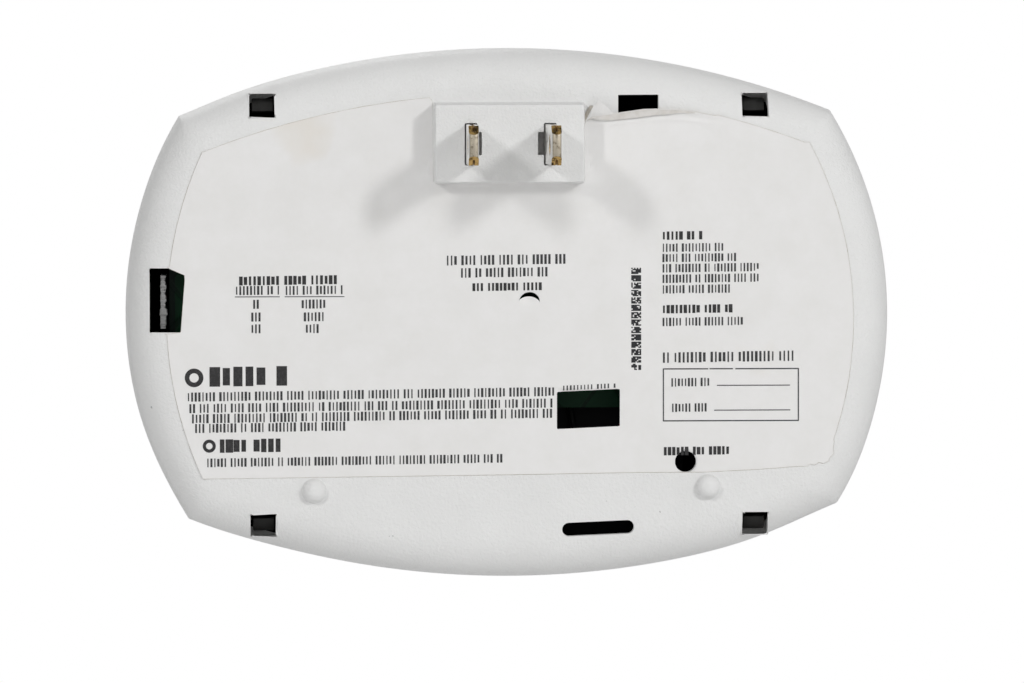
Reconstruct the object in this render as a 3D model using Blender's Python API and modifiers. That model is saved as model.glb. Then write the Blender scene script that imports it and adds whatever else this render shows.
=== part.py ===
"""A plug-in carbon monoxide alarm: two clipped shells with the board, gas cell and sounder between them.

The frame is +Z up and +X across. The plug blades point along +Y into the wall outlet, and the
front with its test button faces -Y. The origin is the middle of the plug block's face, midway
between the blades. Every part hangs on an empty at the middle of the housing, so its place is
given from there in X and Z, and from the face of the outlet in Y.
"""
import math

import bmesh
import bpy
from mathutils import Matrix, Vector

MM = 0.001
GAP = 0.3 * MM  # kept between pieces that touch

# Housing outline, seen along Y: four shallow arcs that meet at the corners
HALF_WIDTH = 62 * MM
HALF_HEIGHT = 43 * MM
SIDE_RADIUS = 63 * MM
CROWN_RADIUS = 142 * MM
WALL = 2 * MM

# Depths along Y, from the face of the outlet towards the room
BACK_Y = -5 * MM
PARTING_Y = -19 * MM
FRONT_Y = -38 * MM
REAR_ROUND = 6.5 * MM
FRONT_ROUND = 7 * MM
DRAFT = 0.5 * MM
HOUSING_Z = -27.6 * MM  # the plug sits this far above the middle of the housing

# Plug: two flat blades at the standard spacing
BLADE_SPACING = 12.7 * MM
BLADE_WIDTH = 6.35 * MM
BLADE_THICKNESS = 1.5 * MM
BLADE_LENGTH = 17 * MM
BLOCK_WIDTH = 23.7 * MM
BLOCK_HEIGHT = 12.45 * MM
BLOCK_DRAFT = 0.6 * MM

# Circuit board
BOARD_THICKNESS = 1.6 * MM
BOARD_BACK_Y = -13 * MM
BOARD_FRONT_Y = BOARD_BACK_Y - BOARD_THICKNESS

# Places seen along Y, from the middle of the housing: (x, z)
CATCHES = [(side * 39.7 * MM, level * 33.8 * MM) for side in (-1, 1) for level in (-1, 1)]
PLUG = (0, -HOUSING_Z)
HORN = (-14.8 * MM, -23.5 * MM)
SENSOR = (-34 * MM, 8 * MM)
BUTTON = (24 * MM, -16 * MM)
POWER_LIGHT = (18 * MM, 4 * MM)
ALARM_LIGHT = (30 * MM, 4 * MM)
FEET = [(31.3 * MM, -28.9 * MM), (-32.1 * MM, -28.2 * MM)]
BOARD_POSTS = [(-44 * MM, -8 * MM), (-20 * MM, 26 * MM), (44 * MM, 22 * MM), (40 * MM, -24 * MM)]

HORN_RADIUS = 14 * MM
PUSH_SIZE = (22 * MM, 12 * MM)
PUSH_STEM_END_Y = -21.6 * MM
SWITCH_TOP_Y = -18.3 * MM
LIGHT_RADIUS = 1.8 * MM
SENSOR_RADIUS = 10 * MM
SENSOR_TOP_Y = -31 * MM


# ---------------------------------------------------------------- scene, materials and placing


def clear_scene():
    for obj in list(bpy.data.objects):
        bpy.data.objects.remove(obj, do_unlink=True)


def add_collection(name):
    collection = bpy.data.collections.new(name)
    bpy.context.scene.collection.children.link(collection)
    return collection


clear_scene()
PARTS = add_collection("carbon_monoxide_alarm")
CUTTERS = add_collection("cutters")

HOUSING_CENTRE = bpy.data.objects.new("housing_centre", None)
HOUSING_CENTRE.location = (0, 0, HOUSING_Z)
PARTS.objects.link(HOUSING_CENTRE)


def finish(name, colour, roughness, metallic=0.0):
    """One Principled material of an even colour."""
    material = bpy.data.materials.new(name)
    material.use_nodes = True
    shader = material.node_tree.nodes["Principled BSDF"]
    shader.inputs["Base Color"].default_value = (*colour, 1)
    shader.inputs["Roughness"].default_value = roughness
    shader.inputs["Metallic"].default_value = metallic
    return material


def place(name, mesh, x=0.0, y=0.0, z=0.0, material=None, collection=PARTS):
    """Put a mesh in the scene, measured from the middle of the housing."""
    obj = bpy.data.objects.new(name, mesh)
    collection.objects.link(obj)
    obj.parent = HOUSING_CENTRE
    obj.location = (x, y, z)
    if material:
        mesh.materials.append(material)
    if collection is CUTTERS:
        obj.hide_render = True
        obj.display_type = "WIRE"
    return obj


def mesh_of(bm, name):
    mesh = bpy.data.meshes.new(name)
    bm.to_mesh(mesh)
    bm.free()
    mesh.shade_smooth()
    mesh.set_sharp_from_angle(angle=math.radians(35))
    return mesh


def combine(target, name, bm, operation, spot=(0, 0)):
    """Join or cut a part with another shape, kept as a hidden object at the same place."""
    operand = place(name, mesh_of(bm, name), spot[0], 0, spot[1], collection=CUTTERS)
    step = target.modifiers.new(operation.lower(), "BOOLEAN")
    step.operation = operation
    step.solver = "EXACT"
    step.object = operand


# ---------------------------------------------------------------- shapes


def add_box(bm, size, centre):
    scale = Matrix.Diagonal((*size, 1))
    bmesh.ops.create_cube(bm, size=1, matrix=Matrix.Translation(centre) @ scale)


def add_rod(bm, radius, near_y, far_y, centre, far_radius=None, sides=24):
    """A round rod along Y; far_radius tapers it towards far_y."""
    middle = Vector((centre[0], (near_y + far_y) / 2, centre[1]))
    turn = Matrix.Rotation(-math.pi / 2, 4, "X")
    bmesh.ops.create_cone(
        bm,
        cap_ends=True,
        segments=sides,
        radius1=radius,
        radius2=radius if far_radius is None else far_radius,
        depth=far_y - near_y,
        matrix=Matrix.Translation(middle) @ turn,
    )


def add_prism(bm, points, near_y, far_y):
    """A flat outline of (x, z) points, extruded along Y."""
    face = bm.faces.new([bm.verts.new((x, near_y, z)) for x, z in points])
    grown = bmesh.ops.extrude_face_region(bm, geom=[face])["geom"]
    moved = [item for item in grown if isinstance(item, bmesh.types.BMVert)]
    bmesh.ops.translate(bm, verts=moved, vec=(0, far_y - near_y, 0))
    bmesh.ops.recalc_face_normals(bm, faces=bm.faces)


def capsule(length, width, centre=(0, 0), tilt=0.0, steps=6):
    """Outline of a slot with round ends, tilted about its middle."""
    reach = (length - width) / 2
    points = []
    for end in (1, -1):
        for step in range(steps + 1):
            angle = math.pi * (step / steps - 0.5)
            x = end * (reach + width / 2 * math.cos(angle))
            z = end * width / 2 * math.sin(angle)
            points.append((x, z))
    cos, sin = math.cos(tilt), math.sin(tilt)
    return [(centre[0] + x * cos - z * sin, centre[1] + x * sin + z * cos) for x, z in points]


def rounded_box(width, height, radius, centre=(0, 0), steps=4):
    """Outline of a rectangle with round corners."""
    points = []
    for quarter in range(4):
        sign_x = 1 if quarter in (0, 3) else -1
        sign_z = 1 if quarter in (0, 1) else -1
        for step in range(steps + 1):
            angle = math.pi / 2 * (quarter + step / steps)
            x = sign_x * (width / 2 - radius) + radius * math.cos(angle)
            z = sign_z * (height / 2 - radius) + radius * math.sin(angle)
            points.append((centre[0] + x, centre[1] + z))
    return points


def turned(name, profile, material, x=0.0, y=0.0, z=0.0, sides=32):
    """A body turned about Y from (radius, y) points, given down its outer side towards the room."""
    bm = bmesh.new()
    verts = [bm.verts.new((radius, 0, height)) for radius, height in profile]
    for start, end in zip(verts, verts[1:]):
        bm.edges.new((start, end))
    if profile[0][0] > 0:
        bm.edges.new((verts[-1], verts[0]))
    obj = place(name, mesh_of(bm, name), x, y, z, material)
    obj.rotation_euler = (-math.pi / 2, 0, 0)
    screw = obj.modifiers.new("turn", "SCREW")
    screw.steps = screw.render_steps = sides
    screw.use_merge_vertices = True
    screw.merge_threshold = 0.00001
    return obj


def flat_plate(name, outline, thickness, near_y, material, holes=()):
    """A flat sheet cut to an outline of (x, z) points, with round holes given as (x, z, radius)."""
    curve = bpy.data.curves.new(name, "CURVE")
    curve.dimensions = "2D"
    curve.fill_mode = "BOTH"
    curve.extrude = thickness / 2
    rings = [outline]
    for x, z, radius in holes:
        turns = [math.tau * step / 16 for step in range(16)]
        rings.append([(x + radius * math.cos(t), z + radius * math.sin(t)) for t in turns])
    for ring in rings:
        spline = curve.splines.new("POLY")
        spline.points.add(len(ring) - 1)
        spline.use_cyclic_u = True
        for point, (x, z) in zip(spline.points, ring):
            point.co = (x, z, 0, 1)
    drawn = place(name + "_outline", curve, 0, near_y + thickness / 2, 0)
    drawn.rotation_euler = (math.pi / 2, 0, 0)
    return solid_from(drawn, name, material)


def solid_from(drawn, name, material):
    """Turn a curve into a closed mesh object in the same place, and remove the curve."""
    bpy.context.view_layer.update()
    graph = bpy.context.evaluated_depsgraph_get()
    mesh = bpy.data.meshes.new_from_object(drawn.evaluated_get(graph))
    mesh.name = name
    mesh.materials.clear()
    bm = bmesh.new()
    bm.from_mesh(mesh)
    bmesh.ops.remove_doubles(bm, verts=bm.verts, dist=0.000001)
    bm.to_mesh(mesh)
    bm.free()
    turn, place_at = drawn.rotation_euler.copy(), drawn.location.copy()
    bpy.data.objects.remove(drawn, do_unlink=True)
    obj = place(name, mesh, *place_at, material)
    obj.rotation_euler = turn
    return obj


def wire(name, points, radius, material):
    """A round wire along a smooth curve through the points, from the middle of the housing."""
    curve = bpy.data.curves.new(name, "CURVE")
    curve.dimensions = "3D"
    curve.bevel_depth = radius
    curve.bevel_resolution = 2
    curve.use_fill_caps = True
    spline = curve.splines.new("POLY")
    smooth = smooth_path([Vector(point) for point in points])
    spline.points.add(len(smooth) - 1)
    for point, co in zip(spline.points, smooth):
        point.co = (*co, 1)
    return solid_from(place(name + "_route", curve), name, material)


def smooth_path(points, steps=4):
    """Points on a Catmull-Rom curve through the given points."""
    ends = [2 * points[0] - points[1]] + points + [2 * points[-1] - points[-2]]
    path = []
    for a, b, c, d in zip(ends, ends[1:], ends[2:], ends[3:]):
        for step in range(steps):
            t = step / steps
            curve = 2 * b + (c - a) * t + (2 * a - 5 * b + 4 * c - d) * t**2
            path.append((curve + (3 * b - 3 * c + d - a) * t**3) / 2)
    return path + [points[-1]]


# ---------------------------------------------------------------- housing outline


def circles_meet(centre_a, radius_a, centre_b, radius_b):
    """Where two circles cross, on the side away from the middle of the housing."""
    a, b = Vector(centre_a), Vector(centre_b)
    across = (b - a).normalized()
    apart = (b - a).length
    along = (radius_a**2 - radius_b**2 + apart**2) / (2 * apart)
    away = math.sqrt(radius_a**2 - along**2)
    normal = Vector((-across.y, across.x))
    return max((a + across * along + normal * away * sign for sign in (-1, 1)), key=lambda p: p.x)


def arc(centre, radius, start, end, steps):
    """Points along an arc, its last point left out."""
    turns = [start + (end - start) * step / steps for step in range(steps)]
    return [(centre[0] + radius * math.cos(turn), centre[1] + radius * math.sin(turn)) for turn in turns]


def housing_outline(inset, corner, side_steps=5, corner_steps=3, crown_steps=7):
    """The housing's outline moved in by inset, its corners rounded to radius corner, as (x, z)."""
    side_centre = (HALF_WIDTH - SIDE_RADIUS, 0)
    crown_centre = (0, HALF_HEIGHT - CROWN_RADIUS)
    side_radius, crown_radius = SIDE_RADIUS - inset, CROWN_RADIUS - inset
    round_at = circles_meet(side_centre, side_radius - corner, crown_centre, crown_radius - corner)
    side_turn = math.atan2(round_at.y - side_centre[1], round_at.x - side_centre[0])
    crown_turn = math.atan2(round_at.y - crown_centre[1], round_at.x - crown_centre[0])
    arcs = [
        (side_centre, side_radius, 0, side_turn, side_steps),
        (round_at, corner, side_turn, crown_turn, corner_steps),
        (crown_centre, crown_radius, crown_turn, math.pi / 2, crown_steps),
    ]
    quarter = [point for around in arcs for point in arc(*around)]
    top = (0, HALF_HEIGHT - inset)
    first_half = quarter + [top] + [(-x, z) for x, z in reversed(quarter[1:])]
    return first_half + [(-x, -z) for x, z in first_half]


def shell_rings(rim_y, face_y, round_radius):
    """(y, inset, corner radius) of each outline from the parting line round to the flat face."""
    towards = 1 if face_y > rim_y else -1
    shoulder_y = face_y - towards * round_radius
    rings = [(rim_y, 0, 0.8 * MM), ((rim_y + shoulder_y) / 2, DRAFT / 2, 0.8 * MM)]
    round_steps = 5
    for step in range(round_steps + 1):
        turn = math.pi / 2 * step / round_steps
        inset = DRAFT + round_radius * (1 - math.cos(turn))
        y = shoulder_y + towards * round_radius * math.sin(turn)
        rings.append((y, inset, 0.8 * MM + inset))
    return rings


def shell_mesh(name, rim_y, face_y, round_radius):
    """The outer surface of one shell, open at the parting line: a loft of outlines closed by the face."""
    bm = bmesh.new()
    loops = []
    for y, inset, corner in shell_rings(rim_y, face_y, round_radius):
        loops.append([bm.verts.new((x, y, z)) for x, z in housing_outline(inset, corner)])
    for lower, upper in zip(loops, loops[1:]):
        for index in range(len(lower)):
            following = (index + 1) % len(lower)
            bm.faces.new((lower[index], lower[following], upper[following], upper[index]))
    bm.faces.new(loops[-1])
    bmesh.ops.recalc_face_normals(bm, faces=bm.faces)
    bm.faces.ensure_lookup_table()
    if bm.faces[-1].normal.y * (face_y - rim_y) < 0:
        bmesh.ops.reverse_faces(bm, faces=bm.faces)
    return mesh_of(bm, name)


def add_wall(obj):
    wall = obj.modifiers.new("wall", "SOLIDIFY")
    wall.thickness = WALL
    wall.offset = -1
    wall.use_even_offset = True


# ---------------------------------------------------------------- rear housing


def plug_block(bm):
    """The drafted block that the blades stand on, down through the back wall."""
    corners = []
    for y, grow in ((BACK_Y - WALL - GAP, BLOCK_DRAFT), (0, 0)):
        size = (BLOCK_WIDTH + 2 * grow, BLOCK_HEIGHT + 2 * grow)
        outline = rounded_box(*size, 0.5 * MM + grow, PLUG)
        corners.append([bm.verts.new((x, y, z)) for x, z in outline])
    wide, narrow = corners
    for index in range(len(wide)):
        following = (index + 1) % len(wide)
        bm.faces.new((wide[index], wide[following], narrow[following], narrow[index]))
    bm.faces.new(wide)
    bm.faces.new(narrow)
    bmesh.ops.recalc_face_normals(bm, faces=bm.faces)


def rear_additions():
    """Plug block, two dome feet and the posts that hold the board off the back."""
    bm = bmesh.new()
    plug_block(bm)
    inside_y = BACK_Y - WALL / 2
    for foot in FEET:
        add_dome(bm, 2.15 * MM, 1.9 * MM, foot)
    for post in BOARD_POSTS:
        add_rod(bm, 2.2 * MM, BOARD_BACK_Y + GAP, inside_y, post, 2.5 * MM, 16)
    return bm


def add_dome(bm, radius, height, spot):
    """A ball flattened along Y and sunk to its middle in the back face."""
    middle = Matrix.Translation((spot[0], BACK_Y, spot[1]))
    scale = Matrix.Diagonal((radius, height, radius, 1))
    turn = Matrix.Rotation(math.pi / 2, 4, "X")
    bmesh.ops.create_uvsphere(bm, u_segments=16, v_segments=10, radius=1, matrix=middle @ scale @ turn)


def rear_openings():
    """Cutters for the catch windows, vents, service windows and blade slots of the back."""
    bm = bmesh.new()
    deep_y, out_y = BACK_Y - 8 * MM, BACK_Y + 1 * MM
    for x, z in CATCHES:
        add_box(bm, (4.2 * MM, out_y - deep_y, 3.8 * MM), (x, (deep_y + out_y) / 2, z))
    windows = [
        rounded_box(6.4 * MM, 3.9 * MM, 0.3 * MM, (-20.9 * MM, 32.7 * MM)),
        rounded_box(5.7 * MM, 10.3 * MM, 0.3 * MM, (55.05 * MM, 1.95 * MM)),
        rounded_box(10.2 * MM, 5.8 * MM, 0.5 * MM, (-12.9 * MM, -15.8 * MM)),
        capsule(11.6 * MM, 2.2 * MM, (-14.4 * MM, -34.9 * MM), math.radians(-2.4)),
    ]
    for window in windows:
        add_prism(bm, window, deep_y, out_y)
    for hole in ((-28.5 * MM, -24.1 * MM), (-3.3 * MM, 1.7 * MM)):
        add_rod(bm, 1.73 * MM, deep_y, out_y, hole, sides=20)
    for side in (-1, 1):
        blade_slot(bm, side, BACK_Y - 3 * MM, 1 * MM)
    return bm


def blade_slot(bm, side, near_y, far_y):
    """A slot round one blade, with a small key notch towards the other blade."""
    half_width, half_height = BLADE_THICKNESS / 2 + GAP, BLADE_WIDTH / 2 + GAP
    notch_reach, notch_half = half_width + 0.8 * MM, 1.85 * MM
    x = side * BLADE_SPACING / 2
    outline = [
        (half_width, -half_height),
        (half_width, half_height),
        (-half_width, half_height),
        (-half_width, notch_half),
        (-notch_reach, notch_half),
        (-notch_reach, -notch_half),
        (-half_width, -notch_half),
        (-half_width, -half_height),
    ]
    placed = [(x + side * across, PLUG[1] + up) for across, up in outline]
    add_prism(bm, placed, near_y, far_y)


def rear_housing():
    mesh = shell_mesh("rear_housing", PARTING_Y, BACK_Y, REAR_ROUND)
    white = finish("white_abs_rear", (0.78, 0.78, 0.78), 0.45)
    housing = place("rear_housing", mesh, material=white)
    add_wall(housing)
    combine(housing, "rear_additions", rear_additions(), "UNION")
    combine(housing, "rear_openings", rear_openings(), "DIFFERENCE")


# ---------------------------------------------------------------- front cover


def catch_tongue(bm, x, z):
    """A springy tongue from the cover's rounded shoulder back into its window, with a barb at its end."""
    outer = 1 if z > 0 else -1
    root_y, tip_y, barb_y = FRONT_Y + 2.4 * MM, -8.4 * MM, -11 * MM
    inner_z, back_z, barb_z = z - outer * 1.2 * MM, z + outer * 0.4 * MM, z + outer * 1.6 * MM
    side_view = [
        (root_y, inner_z),
        (tip_y, inner_z),
        (tip_y, back_z),
        (barb_y, barb_z),
        (barb_y, back_z),
        (root_y, back_z),
    ]
    half = 1.7 * MM
    face = bm.faces.new([bm.verts.new((x - half, y, level)) for y, level in side_view])
    grown = bmesh.ops.extrude_face_region(bm, geom=[face])["geom"]
    moved = [item for item in grown if isinstance(item, bmesh.types.BMVert)]
    bmesh.ops.translate(bm, verts=moved, vec=(2 * half, 0, 0))
    bmesh.ops.recalc_face_normals(bm, faces=bm.faces)


def front_additions():
    """Catches, board posts, and the thin rib beside the board's edge."""
    bm = bmesh.new()
    for x, z in CATCHES:
        catch_tongue(bm, x, z)
    inside_y = FRONT_Y + WALL / 2
    for post in BOARD_POSTS:
        add_rod(bm, 3 * MM, inside_y, BOARD_FRONT_Y - GAP, post, 2.2 * MM, 16)
    rib_back_y = -10.5 * MM
    add_box(
        bm,
        (0.9 * MM, rib_back_y - inside_y, 8.6 * MM),
        (55.8 * MM, (rib_back_y + inside_y) / 2, 2.1 * MM),
    )
    return bm


def front_openings():
    """Cutters for the sounder grille, the gas vents, the button and the two lights."""
    bm = bmesh.new()
    near_y, far_y = FRONT_Y - 1 * MM, FRONT_Y + WALL + 0.5 * MM
    grille_radius, slot_width, slot_pitch = 10.5 * MM, 1.8 * MM, 4 * MM
    for row in range(-2, 3):
        offset = row * slot_pitch
        length = 2 * math.sqrt(grille_radius**2 - offset**2)
        slot = capsule(length, slot_width, (HORN[0], HORN[1] + offset))
        add_prism(bm, slot, near_y, far_y)
    vent_count, vent_pitch = 6, 3.6 * MM
    for column in range(vent_count):
        x = SENSOR[0] + (column - (vent_count - 1) / 2) * vent_pitch
        vent = capsule(14 * MM, 1.6 * MM, (x, SENSOR[1]), math.pi / 2)
        add_prism(bm, vent, near_y, far_y)
    width, height = (size + 2 * GAP for size in PUSH_SIZE)
    add_prism(bm, capsule(width, height, BUTTON, steps=10), near_y, far_y)
    for light in (POWER_LIGHT, ALARM_LIGHT):
        add_rod(bm, LIGHT_RADIUS + GAP, near_y, far_y, light)
    return bm


def front_cover():
    mesh = shell_mesh("front_cover", PARTING_Y - GAP, FRONT_Y, FRONT_ROUND)
    white = finish("white_abs_front", (0.80, 0.80, 0.80), 0.42)
    cover = place("front_cover", mesh, material=white)
    add_wall(cover)
    combine(cover, "front_additions", front_additions(), "UNION")
    combine(cover, "front_openings", front_openings(), "DIFFERENCE")


# ---------------------------------------------------------------- label


def label_outline():
    """Arcs that follow the housing's flat back, cut off straight above the feet."""
    side_inset, crown_inset = 7 * MM, 7.9 * MM
    bottom_z, steps = -26.4 * MM, 10
    side_centre, crown_centre = HALF_WIDTH - SIDE_RADIUS, HALF_HEIGHT - CROWN_RADIUS
    side_radius, crown_radius = SIDE_RADIUS - side_inset, CROWN_RADIUS - crown_inset
    corner = circles_meet((side_centre, 0), side_radius, (0, crown_centre), crown_radius)
    start = math.asin(bottom_z / side_radius)
    end = math.atan2(corner.y, corner.x - side_centre)
    right = arc((side_centre, 0), side_radius, start, end, steps)
    start = math.atan2(corner.y - crown_centre, corner.x)
    right += arc((0, crown_centre), crown_radius, start, math.pi / 2, steps)
    return right + [(-x, z) for x, z in reversed(right)]


def label_cutouts():
    """What the label leaves free: the plug block, the vents and the punched holes."""
    bm = bmesh.new()
    near_y, far_y = BACK_Y - 1 * MM, BACK_Y + 2 * MM
    clear = 0.2 * MM
    notch_top, notch_low = 40 * MM, PLUG[1] - BLOCK_HEIGHT / 2 - BLOCK_DRAFT - clear
    half = BLOCK_WIDTH / 2 + BLOCK_DRAFT + clear
    plug_notch = [(-half, notch_low), (half, notch_low), (half, notch_top), (-half, notch_top)]
    side_notch = [(60, -3.3), (52.8, -3.1), (52.1, 5.9), (54.8, 7.3), (60, 7.3)]
    add_prism(bm, plug_notch, near_y, far_y)
    add_prism(bm, [(x * MM, z * MM) for x, z in side_notch], near_y, far_y)
    window = rounded_box(10.2 * MM, 5.8 * MM, 0.5 * MM, (-12.9 * MM, -15.9 * MM))
    add_prism(bm, window, near_y, far_y)
    add_rod(bm, 1.9 * MM, near_y, far_y, (-28.5 * MM, -24.1 * MM), sides=20)
    return bm


def back_label():
    paper = finish("label_paper", (0.76, 0.76, 0.74), 0.55)
    thickness = 0.2 * MM
    label = flat_plate("back_label", label_outline(), thickness, BACK_Y + GAP, paper)
    tilt = Matrix.Rotation(math.radians(0.9), 4, "Y")
    label.data.transform(label.rotation_euler.to_matrix().to_4x4())
    label.rotation_euler = (0, 0, 0)
    label.data.transform(tilt)
    combine(label, "label_cutouts", label_cutouts(), "DIFFERENCE")


# ---------------------------------------------------------------- plug


def blade(name, side):
    """A flat blade with a chamfered tip, a detent hole, and a narrow tail into the board."""
    plated = finish(name + "_plating", (0.62, 0.60, 0.55), 0.32, 1.0)
    half, chamfer = BLADE_WIDTH / 2, 1.3 * MM
    tail_half, shoulder, tail_end = 1.5 * MM, -10.8 * MM, BOARD_FRONT_Y - 1.2 * MM
    hole_at, hole_radius = 11.7 * MM, 1.6 * MM
    profile = [
        (tail_end, -tail_half),
        (shoulder, -tail_half),
        (shoulder, -half),
        (BLADE_LENGTH - chamfer, -half),
        (BLADE_LENGTH, -half + chamfer),
        (BLADE_LENGTH, half - chamfer),
        (BLADE_LENGTH - chamfer, half),
        (shoulder, half),
        (shoulder, tail_half),
        (tail_end, tail_half),
    ]
    strip = flat_plate(name, profile, BLADE_THICKNESS, 0, plated, [(hole_at, 0, hole_radius)])
    strip.location = (side * BLADE_SPACING / 2, 0, PLUG[1])
    strip.rotation_euler = (math.pi / 2, 0, math.pi / 2)


def blade_carrier():
    """The insulating plate behind the plug block that the blades are pushed through."""
    amber = finish("carrier_plastic", (0.55, 0.50, 0.40), 0.5)
    near_y, far_y = -10.4 * MM, BACK_Y - WALL - 2 * GAP
    bm = bmesh.new()
    add_prism(bm, rounded_box(26 * MM, 13 * MM, 1 * MM, PLUG), near_y, far_y)
    carrier = place("blade_carrier", mesh_of(bm, "blade_carrier"), material=amber)
    slots = bmesh.new()
    for side in (-1, 1):
        size = (BLADE_THICKNESS + 2 * GAP, 5 * MM, BLADE_WIDTH + 2 * GAP)
        add_box(slots, size, (side * BLADE_SPACING / 2, (near_y + far_y) / 2, PLUG[1]))
    combine(carrier, "carrier_slots", slots, "DIFFERENCE")


# ---------------------------------------------------------------- circuit board


def circuit_board():
    """A board stepped round the sounder, with a slot for each blade's tail."""
    green = finish("solder_mask", (0.05, 0.22, 0.12), 0.4)
    below_horn, top, foot, right, left = -15.3, 31.3, -31, 54.8, -50
    corners = [(left, below_horn), (1.5, below_horn), (1.5, foot), (44, foot), (right, -13)]
    corners += [(right, 15), (44, top), (-42, top), (left, 22)]
    outline = [(x * MM, z * MM) for x, z in corners]
    board = flat_plate("circuit_board", outline, BOARD_THICKNESS, BOARD_FRONT_Y, green)
    slots = bmesh.new()
    middle_y = (BOARD_BACK_Y + BOARD_FRONT_Y) / 2
    for side in (-1, 1):
        add_box(slots, (2.1 * MM, 4 * MM, 3.6 * MM), (side * BLADE_SPACING / 2, middle_y, PLUG[1]))
    combine(board, "board_slots", slots, "DIFFERENCE")


def chip(name, x, z, size, legs):
    """A moulded chip on the front of the board, with a row of gull-wing legs on each long side."""
    black = finish(name + "_epoxy", (0.03, 0.03, 0.035), 0.5)
    length, width, height = size
    top_y = BOARD_FRONT_Y - GAP
    bm = bmesh.new()
    add_box(bm, (length, height, width), (0, top_y - 0.25 * MM - height / 2, 0))
    body = place(name, mesh_of(bm, name), x, 0, z, black)
    leads = bmesh.new()
    leg_size, pitch = (0.42 * MM, 0.8 * MM, 1 * MM), 1.27 * MM
    for leg in range(legs):
        offset = (leg - (legs - 1) / 2) * pitch
        for side in (-1, 1):
            add_box(leads, leg_size, (offset, top_y - leg_size[1] / 2, side * (width / 2 + 0.4 * MM)))
    combine(body, name + "_legs", leads, "UNION", (x, z))


def standing_can(name, x, z, radius, height, colour, metallic=0.0):
    """A round can standing on the board, with a rolled groove near its base and a soft top edge."""
    foot = BOARD_FRONT_Y - GAP
    soft, groove = 0.06 * height, 0.12 * radius
    levels = [0, 0.10, 0.14, 0.18, 0.22]
    inward = [0, 0, groove, groove, 0]
    profile = [(0, foot)] + [(radius - cut, foot - level * height) for level, cut in zip(levels, inward)]
    profile += [(radius, foot - height + soft), (radius - soft, foot - height), (0, foot - height)]
    turned(name, profile, finish(name + "_sleeve", colour, 0.35, metallic), x, 0, z, 28)


def axial_part(name, x, z, length, radius, colour):
    """A leaded part lying along X, its two leads bent down to the board."""
    coat = finish(name + "_coating", colour, 0.45)
    lift, reach, bend = BOARD_FRONT_Y - GAP - radius - 0.6 * MM, length / 2 + 2.2 * MM, 0.7 * MM
    foot = BOARD_FRONT_Y - GAP
    route = [
        (-reach, foot, 0),
        (-reach, lift + bend, 0),
        (-reach + bend, lift, 0),
        (reach - bend, lift, 0),
        (reach, lift + bend, 0),
        (reach, foot, 0),
    ]
    curve = bpy.data.curves.new(name, "CURVE")
    curve.dimensions = "3D"
    curve.bevel_depth = 0.35 * MM
    curve.bevel_resolution = 1
    curve.use_fill_caps = True
    spline = curve.splines.new("POLY")
    spline.points.add(len(route) - 1)
    for point, co in zip(spline.points, route):
        point.co = (*co, 1)
    part = solid_from(place(name + "_leads", curve, x, 0, z), name, coat)
    bm = bmesh.new()
    turn = Matrix.Rotation(math.pi / 2, 4, "Y")
    middle = Matrix.Translation((0, lift, 0))
    bmesh.ops.create_cone(
        bm, cap_ends=True, segments=16, radius1=radius, radius2=radius, depth=length, matrix=middle @ turn
    )
    combine(part, name + "_barrel", bm, "UNION", (x, z))


def film_capacitor():
    """The box capacitor that drops the mains voltage."""
    yellow = finish("capacitor_box", (0.75, 0.62, 0.22), 0.45)
    foot = BOARD_FRONT_Y - GAP
    size = (18 * MM, 14 * MM, 8 * MM)
    bm = bmesh.new()
    add_box(bm, size, (0, foot - size[1] / 2, 0))
    box = place("mains_capacitor", mesh_of(bm, "mains_capacitor"), 30.5 * MM, 0, 25.5 * MM, yellow)
    edges = box.modifiers.new("edges", "BEVEL")
    edges.width = 0.6 * MM
    edges.segments = 2


def varistor():
    """A disc varistor standing on its edge."""
    blue = finish("varistor_coating", (0.08, 0.20, 0.45), 0.4)
    radius, thickness = 4.5 * MM, 3.4 * MM
    bm = bmesh.new()
    turn = Matrix.Rotation(math.pi / 2, 4, "Y")
    bmesh.ops.create_cone(
        bm, cap_ends=True, segments=28, radius1=radius, radius2=radius, depth=thickness, matrix=turn
    )
    y = BOARD_FRONT_Y - GAP - radius
    disc = place("varistor", mesh_of(bm, "varistor"), 18 * MM, y, 22 * MM, blue)
    edges = disc.modifiers.new("edges", "BEVEL")
    edges.width = 0.9 * MM
    edges.segments = 3
    edges.limit_method = "ANGLE"


def horn_inductor():
    """A drum-core coil that steps up the voltage for the sounder."""
    foot = BOARD_FRONT_Y - GAP
    profile = [
        (0, foot),
        (4 * MM, foot),
        (4 * MM, foot - 1.2 * MM),
        (3.4 * MM, foot - 1.2 * MM),
        (3.4 * MM, foot - 6.8 * MM),
        (4 * MM, foot - 6.8 * MM),
        (4 * MM, foot - 8 * MM),
        (0, foot - 8 * MM),
    ]
    copper = finish("coil_enamel", (0.45, 0.16, 0.06), 0.35)
    turned("horn_inductor", profile, copper, -8 * MM, 0, -5 * MM, 28)


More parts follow.
